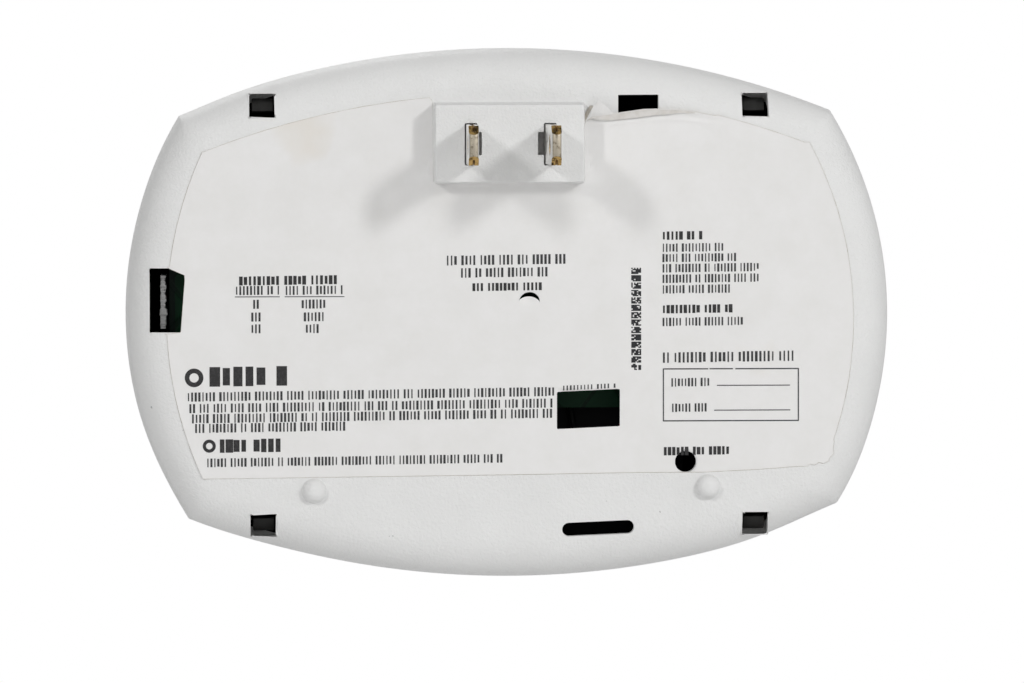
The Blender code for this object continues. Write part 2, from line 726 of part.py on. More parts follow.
def transistor():
    """A small three-legged transistor with one flat side, standing off the board on its legs."""
    black = finish("transistor_epoxy", (0.03, 0.03, 0.03), 0.5)
    foot, stand_off, height = BOARD_FRONT_Y - GAP, 2 * MM, 4.6 * MM
    radius, flat = 2.3 * MM, -1.1 * MM
    start = math.asin(flat / radius)
    turns = [start + (math.pi - 2 * start) * step / 14 for step in range(15)]
    outline = [(radius * math.cos(turn), radius * math.sin(turn)) for turn in turns]
    bm = bmesh.new()
    add_prism(bm, outline, foot - stand_off - height, foot - stand_off)
    spot = (-20 * MM, -5 * MM)
    body = place("drive_transistor", mesh_of(bm, "drive_transistor"), spot[0], 0, spot[1], black)
    legs = bmesh.new()
    length, side, pitch = stand_off + 1 * MM, 0.45 * MM, 1.27 * MM
    for leg in (-1, 0, 1):
        add_box(legs, (side, length, side), (leg * pitch, foot - length / 2, 0))
    combine(body, "transistor_legs", legs, "UNION", spot)


def board_parts():
    chip("microcontroller", 2 * MM, 6 * MM, (10.2 * MM, 4 * MM, 1.5 * MM), 8)
    film_capacitor()
    varistor()
    standing_can("smoothing_capacitor", 10.5 * MM, 15.5 * MM, 4 * MM, 12 * MM, (0.05, 0.07, 0.16))
    standing_can("bypass_capacitor", 46 * MM, -3 * MM, 2.5 * MM, 8 * MM, (0.06, 0.06, 0.07))
    axial_part("fusible_resistor", -18 * MM, 17 * MM, 9 * MM, 1.6 * MM, (0.35, 0.50, 0.55))
    for index in range(4):
        x, z = (33 + 10 * (index % 2)) * MM, (11.5 + 4 * (index // 2)) * MM
        axial_part(f"rectifier_diode_{index + 1}", x, z, 4.2 * MM, 1.1 * MM, (0.05, 0.05, 0.05))
    horn_inductor()
    transistor()


# ---------------------------------------------------------------- gas cell


def gas_cell():
    """The electrochemical cell on its pins, with its filter cap and a foam seal against the vents."""
    x, z = SENSOR
    foot = BOARD_FRONT_Y - 1.5 * MM
    steel = finish("cell_steel", (0.60, 0.61, 0.62), 0.35, 1.0)
    can = [
        (0, foot),
        (SENSOR_RADIUS, foot),
        (SENSOR_RADIUS, SENSOR_TOP_Y + 3 * MM),
        (SENSOR_RADIUS - 0.8 * MM, SENSOR_TOP_Y + 2.4 * MM),
        (SENSOR_RADIUS - 0.8 * MM, SENSOR_TOP_Y + 1 * MM),
        (SENSOR_RADIUS - 1.6 * MM, SENSOR_TOP_Y),
        (0, SENSOR_TOP_Y),
    ]
    turned("sensor_can", can, steel, x, 0, z, 36)
    cap_far, cap_near = SENSOR_TOP_Y - GAP, SENSOR_TOP_Y - 2.6 * MM
    cap = [
        (1.5 * MM, cap_far),
        (7.5 * MM, cap_far),
        (7.5 * MM, cap_near + 0.5 * MM),
        (7 * MM, cap_near),
        (1.5 * MM, cap_near),
    ]
    turned("sensor_cap", cap, finish("cap_plastic", (0.85, 0.85, 0.82), 0.4), x, 0, z, 32)
    seal = [
        (5 * MM, cap_near - GAP),
        (8.4 * MM, cap_near - GAP),
        (8.4 * MM, FRONT_Y + WALL + GAP),
        (5 * MM, FRONT_Y + WALL + GAP),
    ]
    turned("sensor_gasket", seal, finish("foam_seal", (0.05, 0.05, 0.05), 0.9), x, 0, z, 32)
    gold = finish("pin_plating", (0.75, 0.60, 0.30), 0.3, 1.0)
    for index, offset in enumerate((-5, 5)):
        top, end, radius = BOARD_FRONT_Y - GAP, foot + GAP, 0.5 * MM
        pin = [(0, top), (radius, top), (radius, end), (0, end)]
        turned(f"sensor_pin_{index + 1}", pin, gold, x + offset * MM, 0, z, 12)


# ---------------------------------------------------------------- sounder


def sounder():
    """A resonator cup with its piezo disc and outlet cap, against the grille, and its two wires."""
    x, z = HORN
    black = finish("horn_plastic", (0.03, 0.03, 0.03), 0.5)
    back, disc_y, lip = -18.5 * MM, -24.6 * MM, -27.5 * MM
    skin, ledge = 1.2 * MM, 1.5 * MM
    inner = HORN_RADIUS - skin
    cup = [
        (0, back),
        (HORN_RADIUS, back),
        (HORN_RADIUS, lip),
        (inner, lip),
        (inner, disc_y + GAP),
        (inner - ledge, disc_y + GAP),
        (inner - ledge, back - skin),
        (0, back - skin),
    ]
    turned("horn_base", cup, black, x, 0, z, 40)
    brass = finish("disc_brass", (0.80, 0.62, 0.30), 0.3, 1.0)
    disc_radius, disc_back = inner - GAP, disc_y
    disc = [
        (0, disc_back),
        (disc_radius, disc_back),
        (disc_radius, disc_back - 0.3 * MM),
        (disc_radius - 3 * MM, disc_back - 0.3 * MM),
        (disc_radius - 3.2 * MM, disc_back - 0.6 * MM),
        (0, disc_back - 0.6 * MM),
    ]
    turned("piezo_disc", disc, brass, x, 0, z, 40)
    cap_back, cap_front, mouth = lip - GAP, FRONT_Y + WALL + 2 * GAP, 5 * MM
    cap = [
        (mouth, cap_back),
        (HORN_RADIUS, cap_back),
        (HORN_RADIUS, cap_back - 2 * MM),
        (mouth + 3 * MM, cap_front + 1 * MM),
        (mouth + 2 * MM, cap_front),
        (mouth + 0.8 * MM, cap_front),
        (mouth, cap_back - 2 * MM),
    ]
    turned("horn_cap", cap, finish("horn_cap_plastic", (0.04, 0.04, 0.04), 0.5), x, 0, z, 40)
    horn_leads(x, z, back)


def horn_leads(x, z, back):
    """Two insulated wires from the back of the cup up to the front of the board."""
    foot = BOARD_FRONT_Y - 0.8 * MM
    colours = {"red": (0.60, 0.04, 0.03), "black": (0.03, 0.03, 0.03)}
    for (colour, rgb), side in zip(colours.items(), (-1, 1)):
        lead_x = x + side * 2.5 * MM
        route = [
            (lead_x, back + 0.9 * MM, z - 1 * MM),
            (lead_x + side * 1 * MM, back + 1.4 * MM, z + 3 * MM),
            (lead_x + side * 2 * MM, back + 1.4 * MM, z + 8 * MM),
            (lead_x + side * 2 * MM, foot - 0.2 * MM, z + 12 * MM),
            (lead_x + side * 1.5 * MM, foot, z + 15 * MM),
        ]
        wire("horn_lead_" + colour, route, 0.5 * MM, finish(colour + "_insulation", rgb, 0.45))


# ---------------------------------------------------------------- button, switch and lights


def test_button():
    """A capsule-shaped push piece, held behind the cover by its flange, with a stem to the switch."""
    grey = finish("button_plastic", (0.72, 0.72, 0.73), 0.4)
    flange_y = FRONT_Y + WALL + GAP
    proud = 1 * MM
    bm = bmesh.new()
    add_prism(bm, capsule(*PUSH_SIZE, steps=10), FRONT_Y - proud, flange_y + 0.5 * MM)
    button = place("test_button", mesh_of(bm, "test_button"), BUTTON[0], 0, BUTTON[1], grey)
    edges = button.modifiers.new("edges", "BEVEL")
    edges.width = 0.6 * MM
    edges.segments = 2
    edges.limit_method = "ANGLE"
    edges.angle_limit = math.radians(60)
    back = bmesh.new()
    flange = [size + 2.4 * MM for size in PUSH_SIZE]
    add_prism(back, capsule(*flange, steps=10), flange_y, flange_y + 1.2 * MM)
    combine(button, "button_flange", back, "UNION", BUTTON)
    stem = bmesh.new()
    add_rod(stem, 2.6 * MM, flange_y + 0.6 * MM, PUSH_STEM_END_Y, (0, 0), 2.2 * MM, 20)
    combine(button, "button_stem", stem, "UNION", BUTTON)


def tact_switch():
    """The switch under the button: a square body with a round well for its plunger."""
    black = finish("switch_plastic", (0.04, 0.04, 0.04), 0.5)
    top, foot = SWITCH_TOP_Y, BOARD_FRONT_Y - GAP
    bm = bmesh.new()
    add_box(bm, (6.2 * MM, foot - top, 6.2 * MM), (0, (foot + top) / 2, 0))
    body = place("switch_body", mesh_of(bm, "switch_body"), BUTTON[0], 0, BUTTON[1], black)
    well_floor, plunger_radius = top + 1.5 * MM, 1.7 * MM
    well = bmesh.new()
    add_rod(well, plunger_radius + GAP, top - 1 * MM, well_floor, (0, 0))
    combine(body, "switch_well", well, "DIFFERENCE", BUTTON)
    tip, base = PUSH_STEM_END_Y + GAP, well_floor - 0.8 * MM
    profile = [
        (0, base),
        (plunger_radius, base),
        (plunger_radius, tip + 0.2 * MM),
        (plunger_radius - 0.2 * MM, tip),
        (0, tip),
    ]
    ivory = finish("plunger_plastic", (0.75, 0.72, 0.62), 0.4)
    turned("switch_plunger", profile, ivory, BUTTON[0], 0, BUTTON[1], 24)


def light(name, spot, colour):
    """A light-emitting diode on the board and the clear rod that carries its light to the front."""
    x, z = spot
    foot, tip = BOARD_FRONT_Y - GAP, -21 * MM
    radius, flange = 1.5 * MM, 1.9 * MM
    dome = [
        (0, foot),
        (flange, foot),
        (flange, foot - 1 * MM),
        (radius, foot - 1 * MM),
        (radius, tip + radius),
    ]
    for step in range(1, 5):
        turn = math.pi / 2 * step / 4
        dome.append((radius * math.cos(turn), tip + radius - radius * math.sin(turn)))
    dome[-1] = (0, tip)
    turned(name + "_led", dome, finish(name + "_led_epoxy", colour, 0.2), x, 0, z, 20)
    near_end, far_end, collar = FRONT_Y - 0.3 * MM, tip - 0.6 * MM, FRONT_Y + WALL + GAP
    pipe = [
        (0, far_end),
        (1.6 * MM, far_end),
        (1.6 * MM, collar + 1 * MM),
        (2.6 * MM, collar + 1 * MM),
        (2.6 * MM, collar),
        (LIGHT_RADIUS, collar),
        (LIGHT_RADIUS, near_end + 0.3 * MM),
        (LIGHT_RADIUS - 0.5 * MM, near_end),
        (0, near_end),
    ]
    turned(name + "_light_pipe", pipe, finish(name + "_pipe_clear", (0.85, 0.88, 0.88), 0.1), x, 0, z, 24)


rear_housing()
front_cover()
back_label()
blade("blade_left", 1)
blade("blade_right", -1)
blade_carrier()
circuit_board()
board_parts()
gas_cell()
sounder()
test_button()
tact_switch()
light("power", POWER_LIGHT, (0.10, 0.60, 0.20))
light("alarm", ALARM_LIGHT, (0.75, 0.08, 0.05))
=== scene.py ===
"""A plug-in carbon monoxide alarm, dressed piece by piece from the wall side to the room side.

The wall is towards +Y and the room towards -Y. Places on the housing are given in metres across (x) and
up (z) from its middle.
"""

import math

import bmesh
import bpy
import numpy as np
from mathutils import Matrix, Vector
from mathutils.geometry import delaunay_2d_cdt


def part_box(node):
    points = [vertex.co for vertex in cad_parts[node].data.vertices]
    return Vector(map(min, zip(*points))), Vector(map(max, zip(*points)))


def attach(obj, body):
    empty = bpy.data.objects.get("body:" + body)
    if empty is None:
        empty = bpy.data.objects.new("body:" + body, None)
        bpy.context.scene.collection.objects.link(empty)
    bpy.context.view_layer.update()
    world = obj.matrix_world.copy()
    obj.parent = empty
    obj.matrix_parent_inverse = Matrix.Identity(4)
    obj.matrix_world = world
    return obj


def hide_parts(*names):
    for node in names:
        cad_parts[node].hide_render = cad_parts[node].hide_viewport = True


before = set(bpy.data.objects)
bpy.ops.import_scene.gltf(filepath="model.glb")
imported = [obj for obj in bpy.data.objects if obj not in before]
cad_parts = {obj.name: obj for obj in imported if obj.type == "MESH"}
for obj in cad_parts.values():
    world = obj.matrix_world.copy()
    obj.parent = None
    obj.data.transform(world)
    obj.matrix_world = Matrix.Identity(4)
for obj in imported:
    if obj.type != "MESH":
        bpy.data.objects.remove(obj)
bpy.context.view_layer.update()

# ----------------------------------------------------------------------
# Rear housing: one injection-moulded dish of white ABS, 2 mm thick. Its outline is four shallow arcs
# that meet at corners, sharp at the parting line and softer towards the flat back. Windows for the
# front cover's catches, vents and test points go through it, with thin moulding flash at their edges.

MM = 0.001
rear_low, rear_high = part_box("rear_housing")
middle_x, middle_z = (rear_low.x + rear_high.x) / 2, (rear_low.z + rear_high.z) / 2
half_width, half_height = (rear_high.x - rear_low.x) / 2, (rear_high.z - rear_low.z) / 2
parting_y = rear_low.y
back_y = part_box("back_label")[0].y - 0.3 * MM
wall = 2  # mm
side_arc, crown_arc = 63 * MM, 142 * MM

# The outline is not quite symmetrical: place, shift and reach of each corner that is off, in mm.
uneven_corners = [
    ((-52.6, -32.5), (-0.9, 1.6), 11),
    ((52.6, -32.5), (-0.9, -0.65), 12),
    ((52.6, 32.5), (0.45, -0.75), 9),
]


def housing_rings(inset, corner):
    """Outlines of the housing, one row per inset and corner radius, as (x, z) from its middle.

    A quarter is an arc of the side, its radius less the inset, a round corner that touches both arcs, and
    an arc of the crown, its radius less the inset. The other three quarters mirror it. Each uneven corner
    then adds its shift times a bell curve of the distance from that corner."""
    inset, corner = np.asarray(inset)[:, None], np.asarray(corner)[:, None]
    side_x, crown_z = half_width - side_arc, half_height - crown_arc
    side_radius, crown_radius = side_arc - inset, crown_arc - inset
    apart = math.hypot(side_x, crown_z)
    ux, uz = -side_x / apart, crown_z / apart
    inner_side, inner_crown = side_radius - corner, crown_radius - corner
    along = (inner_side**2 - inner_crown**2 + apart**2) / (2 * apart)
    away = np.sqrt(inner_side**2 - along**2)
    corner_x, corner_z = side_x + along * ux - away * uz, along * uz + away * ux
    side_turn = np.arctan2(corner_z, corner_x - side_x)
    crown_turn = np.arctan2(corner_z - crown_z, corner_x)

    def arc(x, z, radius, start, end, steps):
        """Points along an arc, short of its end."""
        turn = start + (end - start) * np.arange(steps)[None] / steps
        return np.stack([x + radius * np.cos(turn), z + radius * np.sin(turn)], -1)

    quarter = np.concatenate(
        [
            arc(side_x, 0, side_radius, 0 * side_turn, side_turn, 34),
            arc(corner_x, corner_z, corner, side_turn, crown_turn, 14),
            arc(0, crown_z, crown_radius, crown_turn, math.pi / 2 + 0 * crown_turn, 44),
        ],
        axis=1,
    )
    top = np.stack([0 * inset, half_height - inset], -1)
    half = np.concatenate([quarter, top, quarter[:, :0:-1] * (-1, 1)], axis=1)
    rings = np.concatenate([half, -half], axis=1)
    pull = 0 * rings
    for corner_at, shift, reach in uneven_corners:
        distance = np.hypot(*(rings / MM - corner_at).transpose(2, 0, 1))
        pull += np.exp(-((distance / reach) ** 2))[..., None] * np.array(shift) * MM
    return rings + pull


def new_object(name, vertices, faces, material=None):
    """A mesh object from points and face indices, its normals turned outwards."""
    mesh = bpy.data.meshes.new(name)
    mesh.from_pydata(np.asarray(vertices).tolist(), [], faces)
    bm = bmesh.new()
    bm.from_mesh(mesh)
    bmesh.ops.recalc_face_normals(bm, faces=bm.faces)
    bm.to_mesh(mesh)
    bm.free()
    obj = bpy.data.objects.new(name, mesh)
    bpy.context.scene.collection.objects.link(obj)
    if material:
        mesh.materials.append(material)
    return obj


def lofted(name, rows, material=None):
    """A closed skin over rows of points, each row a closed loop, with a flat cap on the first and last."""
    count, around = rows.shape[:2]
    start = (np.arange(count - 1) * around)[:, None]
    here, there = np.arange(around)[None], (np.arange(around)[None] + 1) % around
    quads = np.stack([start + here, start + there, start + around + there, start + around + here], -1)
    faces = quads.reshape(-1, 4).tolist()
    faces += [list(range(around)), list(range((count - 1) * around, count * around))]
    return new_object(name, rows.reshape(-1, 3), faces, material)


def hoop(name, rows, material):
    """A closed band: rows of points, each row a closed loop, with the last row joined to the first."""
    rows = np.stack(rows)
    index = np.arange(rows[..., 0].size).reshape(rows.shape[:2])
    below = np.roll(index, -1, axis=0)
    quads = np.stack([index, np.roll(index, -1, 1), np.roll(below, -1, 1), below], -1)
    return new_object(name, rows.reshape(-1, 3), quads.reshape(-1, 4).tolist(), material)


def placed(x, y, z):
    """Points at depth y, for places across and up from the housing's middle."""
    return np.stack(np.broadcast_arrays(middle_x + x, y, middle_z + z), -1)


def shell(name, profile, material):
    """The housing's outline swept along a profile of (y, inset, corner radius), in mm."""
    y, inset, corner = np.array(profile).T * MM
    outline = housing_rings(inset, corner)
    return lofted(name, placed(outline[..., 0], y[:, None], outline[..., 1]), material)


def prism(outline, near_y, far_y):
    """Points (x, z) round a closed outline, carried straight from one depth to another."""
    x, z = np.array(outline).T
    return lofted("tool", np.stack([placed(x, y, z) for y in (near_y, far_y)]))


def waves(turn, counts, seed):
    """The sum of one sine for each count of waves round a loop, each starting at a random phase."""
    rng = np.random.default_rng(seed)
    return sum(np.sin(count * turn + rng.uniform(0, 6.3)) for count in counts)


def full_turn(count):
    """Evenly spaced angles, once round."""
    return np.linspace(0, 2 * math.pi, count, endpoint=False)


def uneven_box(x, z, width, height, uneven=0.0, seed=0, power=14):
    """A box with small round corners whose edge wanders in and out by a sum of sines of its perimeter."""
    turn = full_turn(160) + 0.01
    across = np.sign(np.cos(turn)) * np.abs(np.cos(turn)) ** (2 / power)
    up = np.sign(np.sin(turn)) * np.abs(np.sin(turn)) ** (2 / power)
    wander = waves(turn, (7, 11, 17, 26), seed) / 4 * uneven
    return np.stack([x + across * (width / 2 + wander), z + up * (height / 2 + wander)], -1)


def ring(x, z, radius, count=48, uneven=0.0, seed=0):
    """A circle whose radius wanders in and out by a sum of sines of its angle."""
    turn = full_turn(count)
    radius = radius + waves(turn, (5, 9, 14), seed) / 3 * uneven
    return np.stack([x + radius * np.cos(turn), z + radius * np.sin(turn)], -1)


def capsule(x, z, length, width, turned=0.0):
    """A slot outline: two half circles joined by straights, turned about its middle."""
    turn = full_turn(64) + math.pi / 64
    reach = (length - width) / 2 * np.sign(np.cos(turn))
    along, across = reach + width / 2 * np.cos(turn), width / 2 * np.sin(turn)
    c, s = math.cos(turned), math.sin(turned)
    return np.stack([x + along * c - across * s, z + along * s + across * c], -1)


def settle(obj):
    """Keep the shape that an object's modifiers give, with flats and rounds shaded apart."""
    depsgraph = bpy.context.evaluated_depsgraph_get()
    mesh = bpy.data.meshes.new_from_object(obj.evaluated_get(depsgraph))
    obj.modifiers.clear()
    obj.data = mesh
    mesh.shade_smooth()
    mesh.set_sharp_from_angle(angle=math.radians(32))
    return obj


def cut_with(obj, tools):
    """Cut tools out of an object and throw the tools away."""
    for tool in tools:
        step = obj.modifiers.new("cut", "BOOLEAN")
        step.operation, step.solver, step.object = "DIFFERENCE", "EXACT", tool
    settle(obj)
    for tool in tools:
        bpy.data.objects.remove(tool)
    return obj


def joined(tools):
    """Several separate tools as one."""
    parts = [np.array([v.co for v in tool.data.vertices]) for tool in tools]
    starts = np.cumsum([0] + [len(part) for part in parts[:-1]])
    faces = [
        [int(start + i) for i in face.vertices]
        for tool, start in zip(tools, starts)
        for face in tool.data.polygons
    ]
    for tool in tools:
        bpy.data.objects.remove(tool)
    return new_object("tool", np.concatenate(parts), faces)


def noise(tree, scale, detail=3.0, rough=0.5):
    """Noise laid in the object's own space, in cells of 1/scale metres."""
    nodes, links = tree.nodes, tree.links
    place = nodes.new("ShaderNodeTexCoord")
    cloud = nodes.new("ShaderNodeTexNoise")
    cloud.inputs["Scale"].default_value = scale
    cloud.inputs["Detail"].default_value = detail
    cloud.inputs["Roughness"].default_value = rough
    links.new(place.outputs["Object"], cloud.inputs["Vector"])
    return cloud.outputs["Fac"]


def banded(tree, value, low, high):
    """A value spread so that low becomes 0 and high becomes 1."""
    spread = tree.nodes.new("ShaderNodeMapRange")
    spread.inputs["From Min"].default_value = low
    spread.inputs["From Max"].default_value = high
    tree.links.new(value, spread.inputs["Value"])
    return spread.outputs["Result"]


def blended(tree, amount, first, second):
    """One colour where amount is 0 and the other where it is 1; either may come from another node."""
    mix = tree.nodes.new("ShaderNodeMix")
    mix.data_type = "RGBA"
    tree.links.new(amount, mix.inputs["Factor"])
    for socket, colour in ((6, first), (7, second)):
        if isinstance(colour, bpy.types.NodeSocket):
            tree.links.new(colour, mix.inputs[socket])
        else:
            mix.inputs[socket].default_value = (*colour, 1)
    return mix.outputs[2]


def roughened(tree, value, depth):
    """Push the surface in and out by a value, depth metres at most."""
    bump = tree.nodes.new("ShaderNodeBump")
    bump.inputs["Distance"].default_value = depth
    tree.links.new(value, bump.inputs["Height"])
    tree.links.new(bump.outputs["Normal"], tree.nodes["Principled BSDF"].inputs["Normal"])


def grey(level):
    """Linear colour of a screen grey from 0 to 255."""
    return ((level / 255 + 0.055) / 1.055) ** 2.4 if level > 10 else level / 255 / 12.92


def screen(red, green, blue):
    """Linear colour of three screen levels from 0 to 255."""
    return grey(red), grey(green), grey(blue)


def plain_material(name, roughness, metallic=0.0):
    """A new material, with its node tree and its shader."""
    material = bpy.data.materials.new(name)
    material.use_nodes = True
    shader = material.node_tree.nodes["Principled BSDF"]
    shader.inputs["Roughness"].default_value = roughness
    shader.inputs["Metallic"].default_value = metallic
    return material, material.node_tree, shader


def moulded(name, colour, roughness, grain=0.0, uneven=0.03, specks=0.0):
    """Moulded plastic: a spark-eroded grain 0.4 mm across, slow changes of tone, and a few dust specks."""
    material, tree, shader = plain_material(name, roughness)
    shader.inputs["Specular IOR Level"].default_value = 0.05
    tone = banded(tree, noise(tree, 90, 4), 0.35, 0.65)
    dark = tuple(c * (1 - uneven) for c in colour)
    light = tuple(min(1, c * (1 + uneven)) for c in colour)
    paint = blended(tree, tone, dark, light)
    if specks:
        dust = banded(tree, noise(tree, 1100, 1, 0.3), 0.835, 0.85)
        paint = blended(tree, dust, paint, tuple(c * (1 - specks) for c in colour))
    tree.links.new(paint, shader.inputs["Base Color"])
    if grain:
        roughened(tree, noise(tree, 2300, 2, 0.6), grain)
    return material


rear_white = moulded("rear_white_abs", screen(231, 231, 230), 0.42, 0.00013, 0.015, 0.4)

round_radius, draft = 6.5, 0.5
shoulder_y = back_y / MM - round_radius
rim_y = parting_y / MM
quarter_turn = np.linspace(0, math.pi / 2, 17)
outside = [(rim_y, 0.4), (rim_y + 0.05, 0.15), (rim_y + 0.18, 0.03), (rim_y + 0.4, 0)]
outside += [
    (y, draft * (y - rim_y) / (shoulder_y - rim_y)) for y in np.linspace(rim_y + 1.2, shoulder_y - 0.6, 6)
]


def rounding(start_y, radius, inset, turns):
    """A quarter circle of (y, inset) points from a side over to a flat face, negative towards the room."""
    return [(start_y + radius * math.sin(t), inset + abs(radius) * (1 - math.cos(t))) for t in turns]


outside += rounding(shoulder_y, round_radius, draft, quarter_turn)
outside += [(back_y / MM, draft + round_radius + 0.5)]
inside = [(back_y / MM - wall, draft + round_radius + 0.5)]
inside += rounding(shoulder_y, round_radius - wall, draft + wall, quarter_turn[::-2])
inside += [(rim_y + 0.2, wall), (rim_y, wall - 0.2)]
rear_profile = [(y, inset, 0.6 + 0.8 * (inset - 1)) for y, inset in inside]
rear_profile += [(y, inset, 0.35 + 1.5 * inset) for y, inset in outside]
rear_housing = shell("rear_shell", rear_profile, rear_white)

catches = [(side * 39.7 * MM, level * 33.8 * MM) for side in (-1, 1) for level in (-1, 1)]
catch_windows = [
    uneven_box(x, z, 4.3 * MM, 3.85 * MM, 0.07 * MM, 11 + i, 40) for i, (x, z) in enumerate(catches)
]
upper_window = uneven_box(-20.75, 33.3, 6.5, 4.3, 0.03, 3, 60) * MM
side_window = uneven_box(55.1, 2.5, 5.7, 10.4, 0.05, 4, 60) * MM
lower_window = uneven_box(-12.65, -15.2, 10.5, 6.9, 0.03, 5, 40) * MM
vent_slot = capsule(-14.2, -34.4, 11.6, 2.2, math.radians(-2.4)) * MM
test_holes = [ring(-28.35, -23.7, 1.73) * MM, ring(-3.2, 2.0, 1.73) * MM]
plug_z = -middle_z
blade_spacing = 12.7 * MM
blade_gap = uneven_box(0, plug_z, 21 * MM, 10 * MM)
windows = [*catch_windows, upper_window, side_window, lower_window, vent_slot, *test_holes, blade_gap]
through = (back_y - 8 * MM, back_y + 1 * MM)
cut_with(rear_housing, [joined([prism(window, *through) for window in windows])])
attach(rear_housing, "alarm")
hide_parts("rear_housing")


def edge_distance(x, z):
    """Distance in from the arcs of the outline, for places from the housing's middle."""
    side = half_width - side_arc + np.sqrt(side_arc**2 - z**2)
    crown = half_height - crown_arc + np.sqrt(crown_arc**2 - x**2)
    return np.minimum(side - np.abs(x), crown - np.abs(z))


def skin_y(x, z):
    """Depth of the back's outer skin: flat, then a quarter circle over the last 7 mm to the outline."""
    radius = round_radius * MM
    over = np.clip(radius - edge_distance(x, z) + draft * MM, 0, radius)
    return shoulder_y * MM + np.sqrt(radius**2 - over**2)


def flash(name, outline, height, seed):
    """A wisp of moulding flash standing along a window's edge, its height a clipped sum of sines."""
    turn = full_turn(len(outline))
    rise = height * np.clip(waves(turn, (3, 8, 19, 31), seed) / 2.2, 0.04, 1)
    x, z = outline.T
    from_x, from_z = x - x.mean(), z - z.mean()
    reach = np.hypot(from_x, from_z)
    root, lean = -0.35 * MM, -0.9 * rise
    section = [(0, root), (0.11 * MM, root), (0.13 * MM, 0), (0.05 * MM + lean, rise), (lean, rise), (0, 0)]
    rows = []
    for out, up in section:
        rows.append(placed(x + from_x / reach * out, skin_y(x, z) + up, z + from_z / reach * out))
    wisp = hoop(name, rows, rear_white)
    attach(wisp, "alarm")


for number, window in enumerate(catch_windows):
    flash(f"catch_window_flash_{number + 1}", window, 0.34 * MM, 40 + number)
flash("side_window_flash", side_window, 0.12 * MM, 51)


# ----------------------------------------------------------------------
# Dome feet: two small domes moulded on the back in one piece with it, each on a thin round base. They
# rest on the wall plate below the outlet.


def turned(name, x, z, profile, count, material):
    """A shape turned about an axis along y, from (radius in mm, depth) points."""
    turn = full_turn(count)
    rows = [placed(x + r * MM * np.cos(turn), y, z + r * MM * np.sin(turn)) for r, y in profile]
    return settle(lofted(name, np.stack(rows), material))


dome = [(2.15, -0.4), (2.15, 0), (2.0, 0.06)]
dome += [(0.15 + 1.75 * math.cos(t), 0.15 + 1.7 * math.sin(t)) for t in np.linspace(0.05, 1.5, 16)]
dome = [(radius, back_y + rise * MM) for radius, rise in dome]
for number, (x, z) in enumerate([(31.55 * MM, -28.2 * MM), (-31.95 * MM, -27.75 * MM)]):
    foot = turned(f"dome_foot_{number + 1}", x, z, dome, 40, rear_white)
    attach(foot, "alarm")


# ----------------------------------------------------------------------
# Board posts: four round posts moulded inside the back, tapered so that they leave the mould. Their
# flat ends hold the circuit board off the wall side.

board_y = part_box("circuit_board")[1].y + 0.3 * MM
taper = [(2.6, back_y - 1.2 * MM), (2.5, back_y - 2.6 * MM), (2.2, board_y + 0.2 * MM), (2.0, board_y)]
for number, (x, z) in enumerate([(-44, -8), (-20, 26), (44, 22), (40, -24)]):
    post = turned(f"board_post_{number + 1}", x * MM, z * MM, taper, 32, rear_white)
    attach(post, "alarm")


# ----------------------------------------------------------------------
# Plug block: the raised, drafted block moulded on the back that locates the blades. Its face has a
# slot round each blade, each with a small key notch on the side that faces the other blade.

block_width, block_height, block_x, block_z = 23.82, 12.42, 0.13, 0.11


def block_row(y, grow, corner):
    """A rounded rectangle at one depth: four quarter circles joined by straights."""
    turn = full_turn(80) + math.pi / 80
    sign_x, sign_z = np.sign(np.cos(turn)), np.sign(np.sin(turn))
    across = sign_x * (block_width / 2 + grow - corner) + corner * np.cos(turn)
    up = sign_z * (block_height / 2 + grow - corner) + corner * np.sin(turn)
    return np.stack([(across + block_x) * MM, np.full(len(turn), y * MM), (up + block_z) * MM], -1)


block_rows = [block_row(-6.5, 0.5, 0.6), block_row(back_y / MM, 0.5, 0.6)]
block_rows += [
    block_row(back_y / MM + 0.2 - 0.2 * math.cos(t), 0.36 + 0.14 * (1 - math.sin(t)), 0.5)
    for t in np.linspace(0.3, 1.55, 5)
]
block_rows += [block_row(y, 0.07 * -y, 0.35 + 0.03 * -y) for y in (-4.4, -3, -2, -1, -0.25)]
block_rows += [
    block_row(-0.2 + 0.2 * math.sin(t), 0.01 - 0.2 * (1 - math.cos(t)), 0.35 - 0.18 * (1 - math.cos(t)))
    for t in np.linspace(0.1, math.pi / 2, 6)
]
block_rows.append(block_row(0, -0.7, 0.15))
plug_block = lofted("plug_block", np.stack(block_rows), rear_white)
slots, notches = [], []
for side, notch_in in ((-1, 1.45 * MM), (1, 1.2 * MM)):
    slot_x = side * blade_spacing / 2
    slot = uneven_box(slot_x, plug_z, 2.05 * MM, 6.75 * MM, 0.03 * MM, 60 + side, 18)
    slots.append(prism(slot, -4.4 * MM, 1 * MM))
    notch_x, notch_z = slot_x - side * notch_in, plug_z + 0.1 * MM
    notch = uneven_box(notch_x, notch_z, 1.1 * MM, 3.7 * MM, 0.02 * MM, 70 + side, 12)
    notches.append(prism(notch, -4.0 * MM, 1 * MM))
cut_with(plug_block, [joined(slots), joined(notches)])
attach(plug_block, "alarm")


# ----------------------------------------------------------------------
# Blades: each is a strip of nickel-plated brass folded flat on itself, the fold at the tip. The tip's
# corners are cut off, which shows bare brass and the slit between the two leaves. A detent hole goes
# through both leaves, and the blades lean a little away from each other.

blade_width, blade_length = 6.35 * MM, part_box("blade_left")[1].y
leaf_gap, blade_thick, tail_y = 0.3 * MM, 1.62 * MM, -9.8 * MM
hole_y, hole_radius = 11.7 * MM, 1.6 * MM
tip_flat, tip_drop = 1.72 * MM, 1.75 * MM
fold_depth = 0.55 * MM


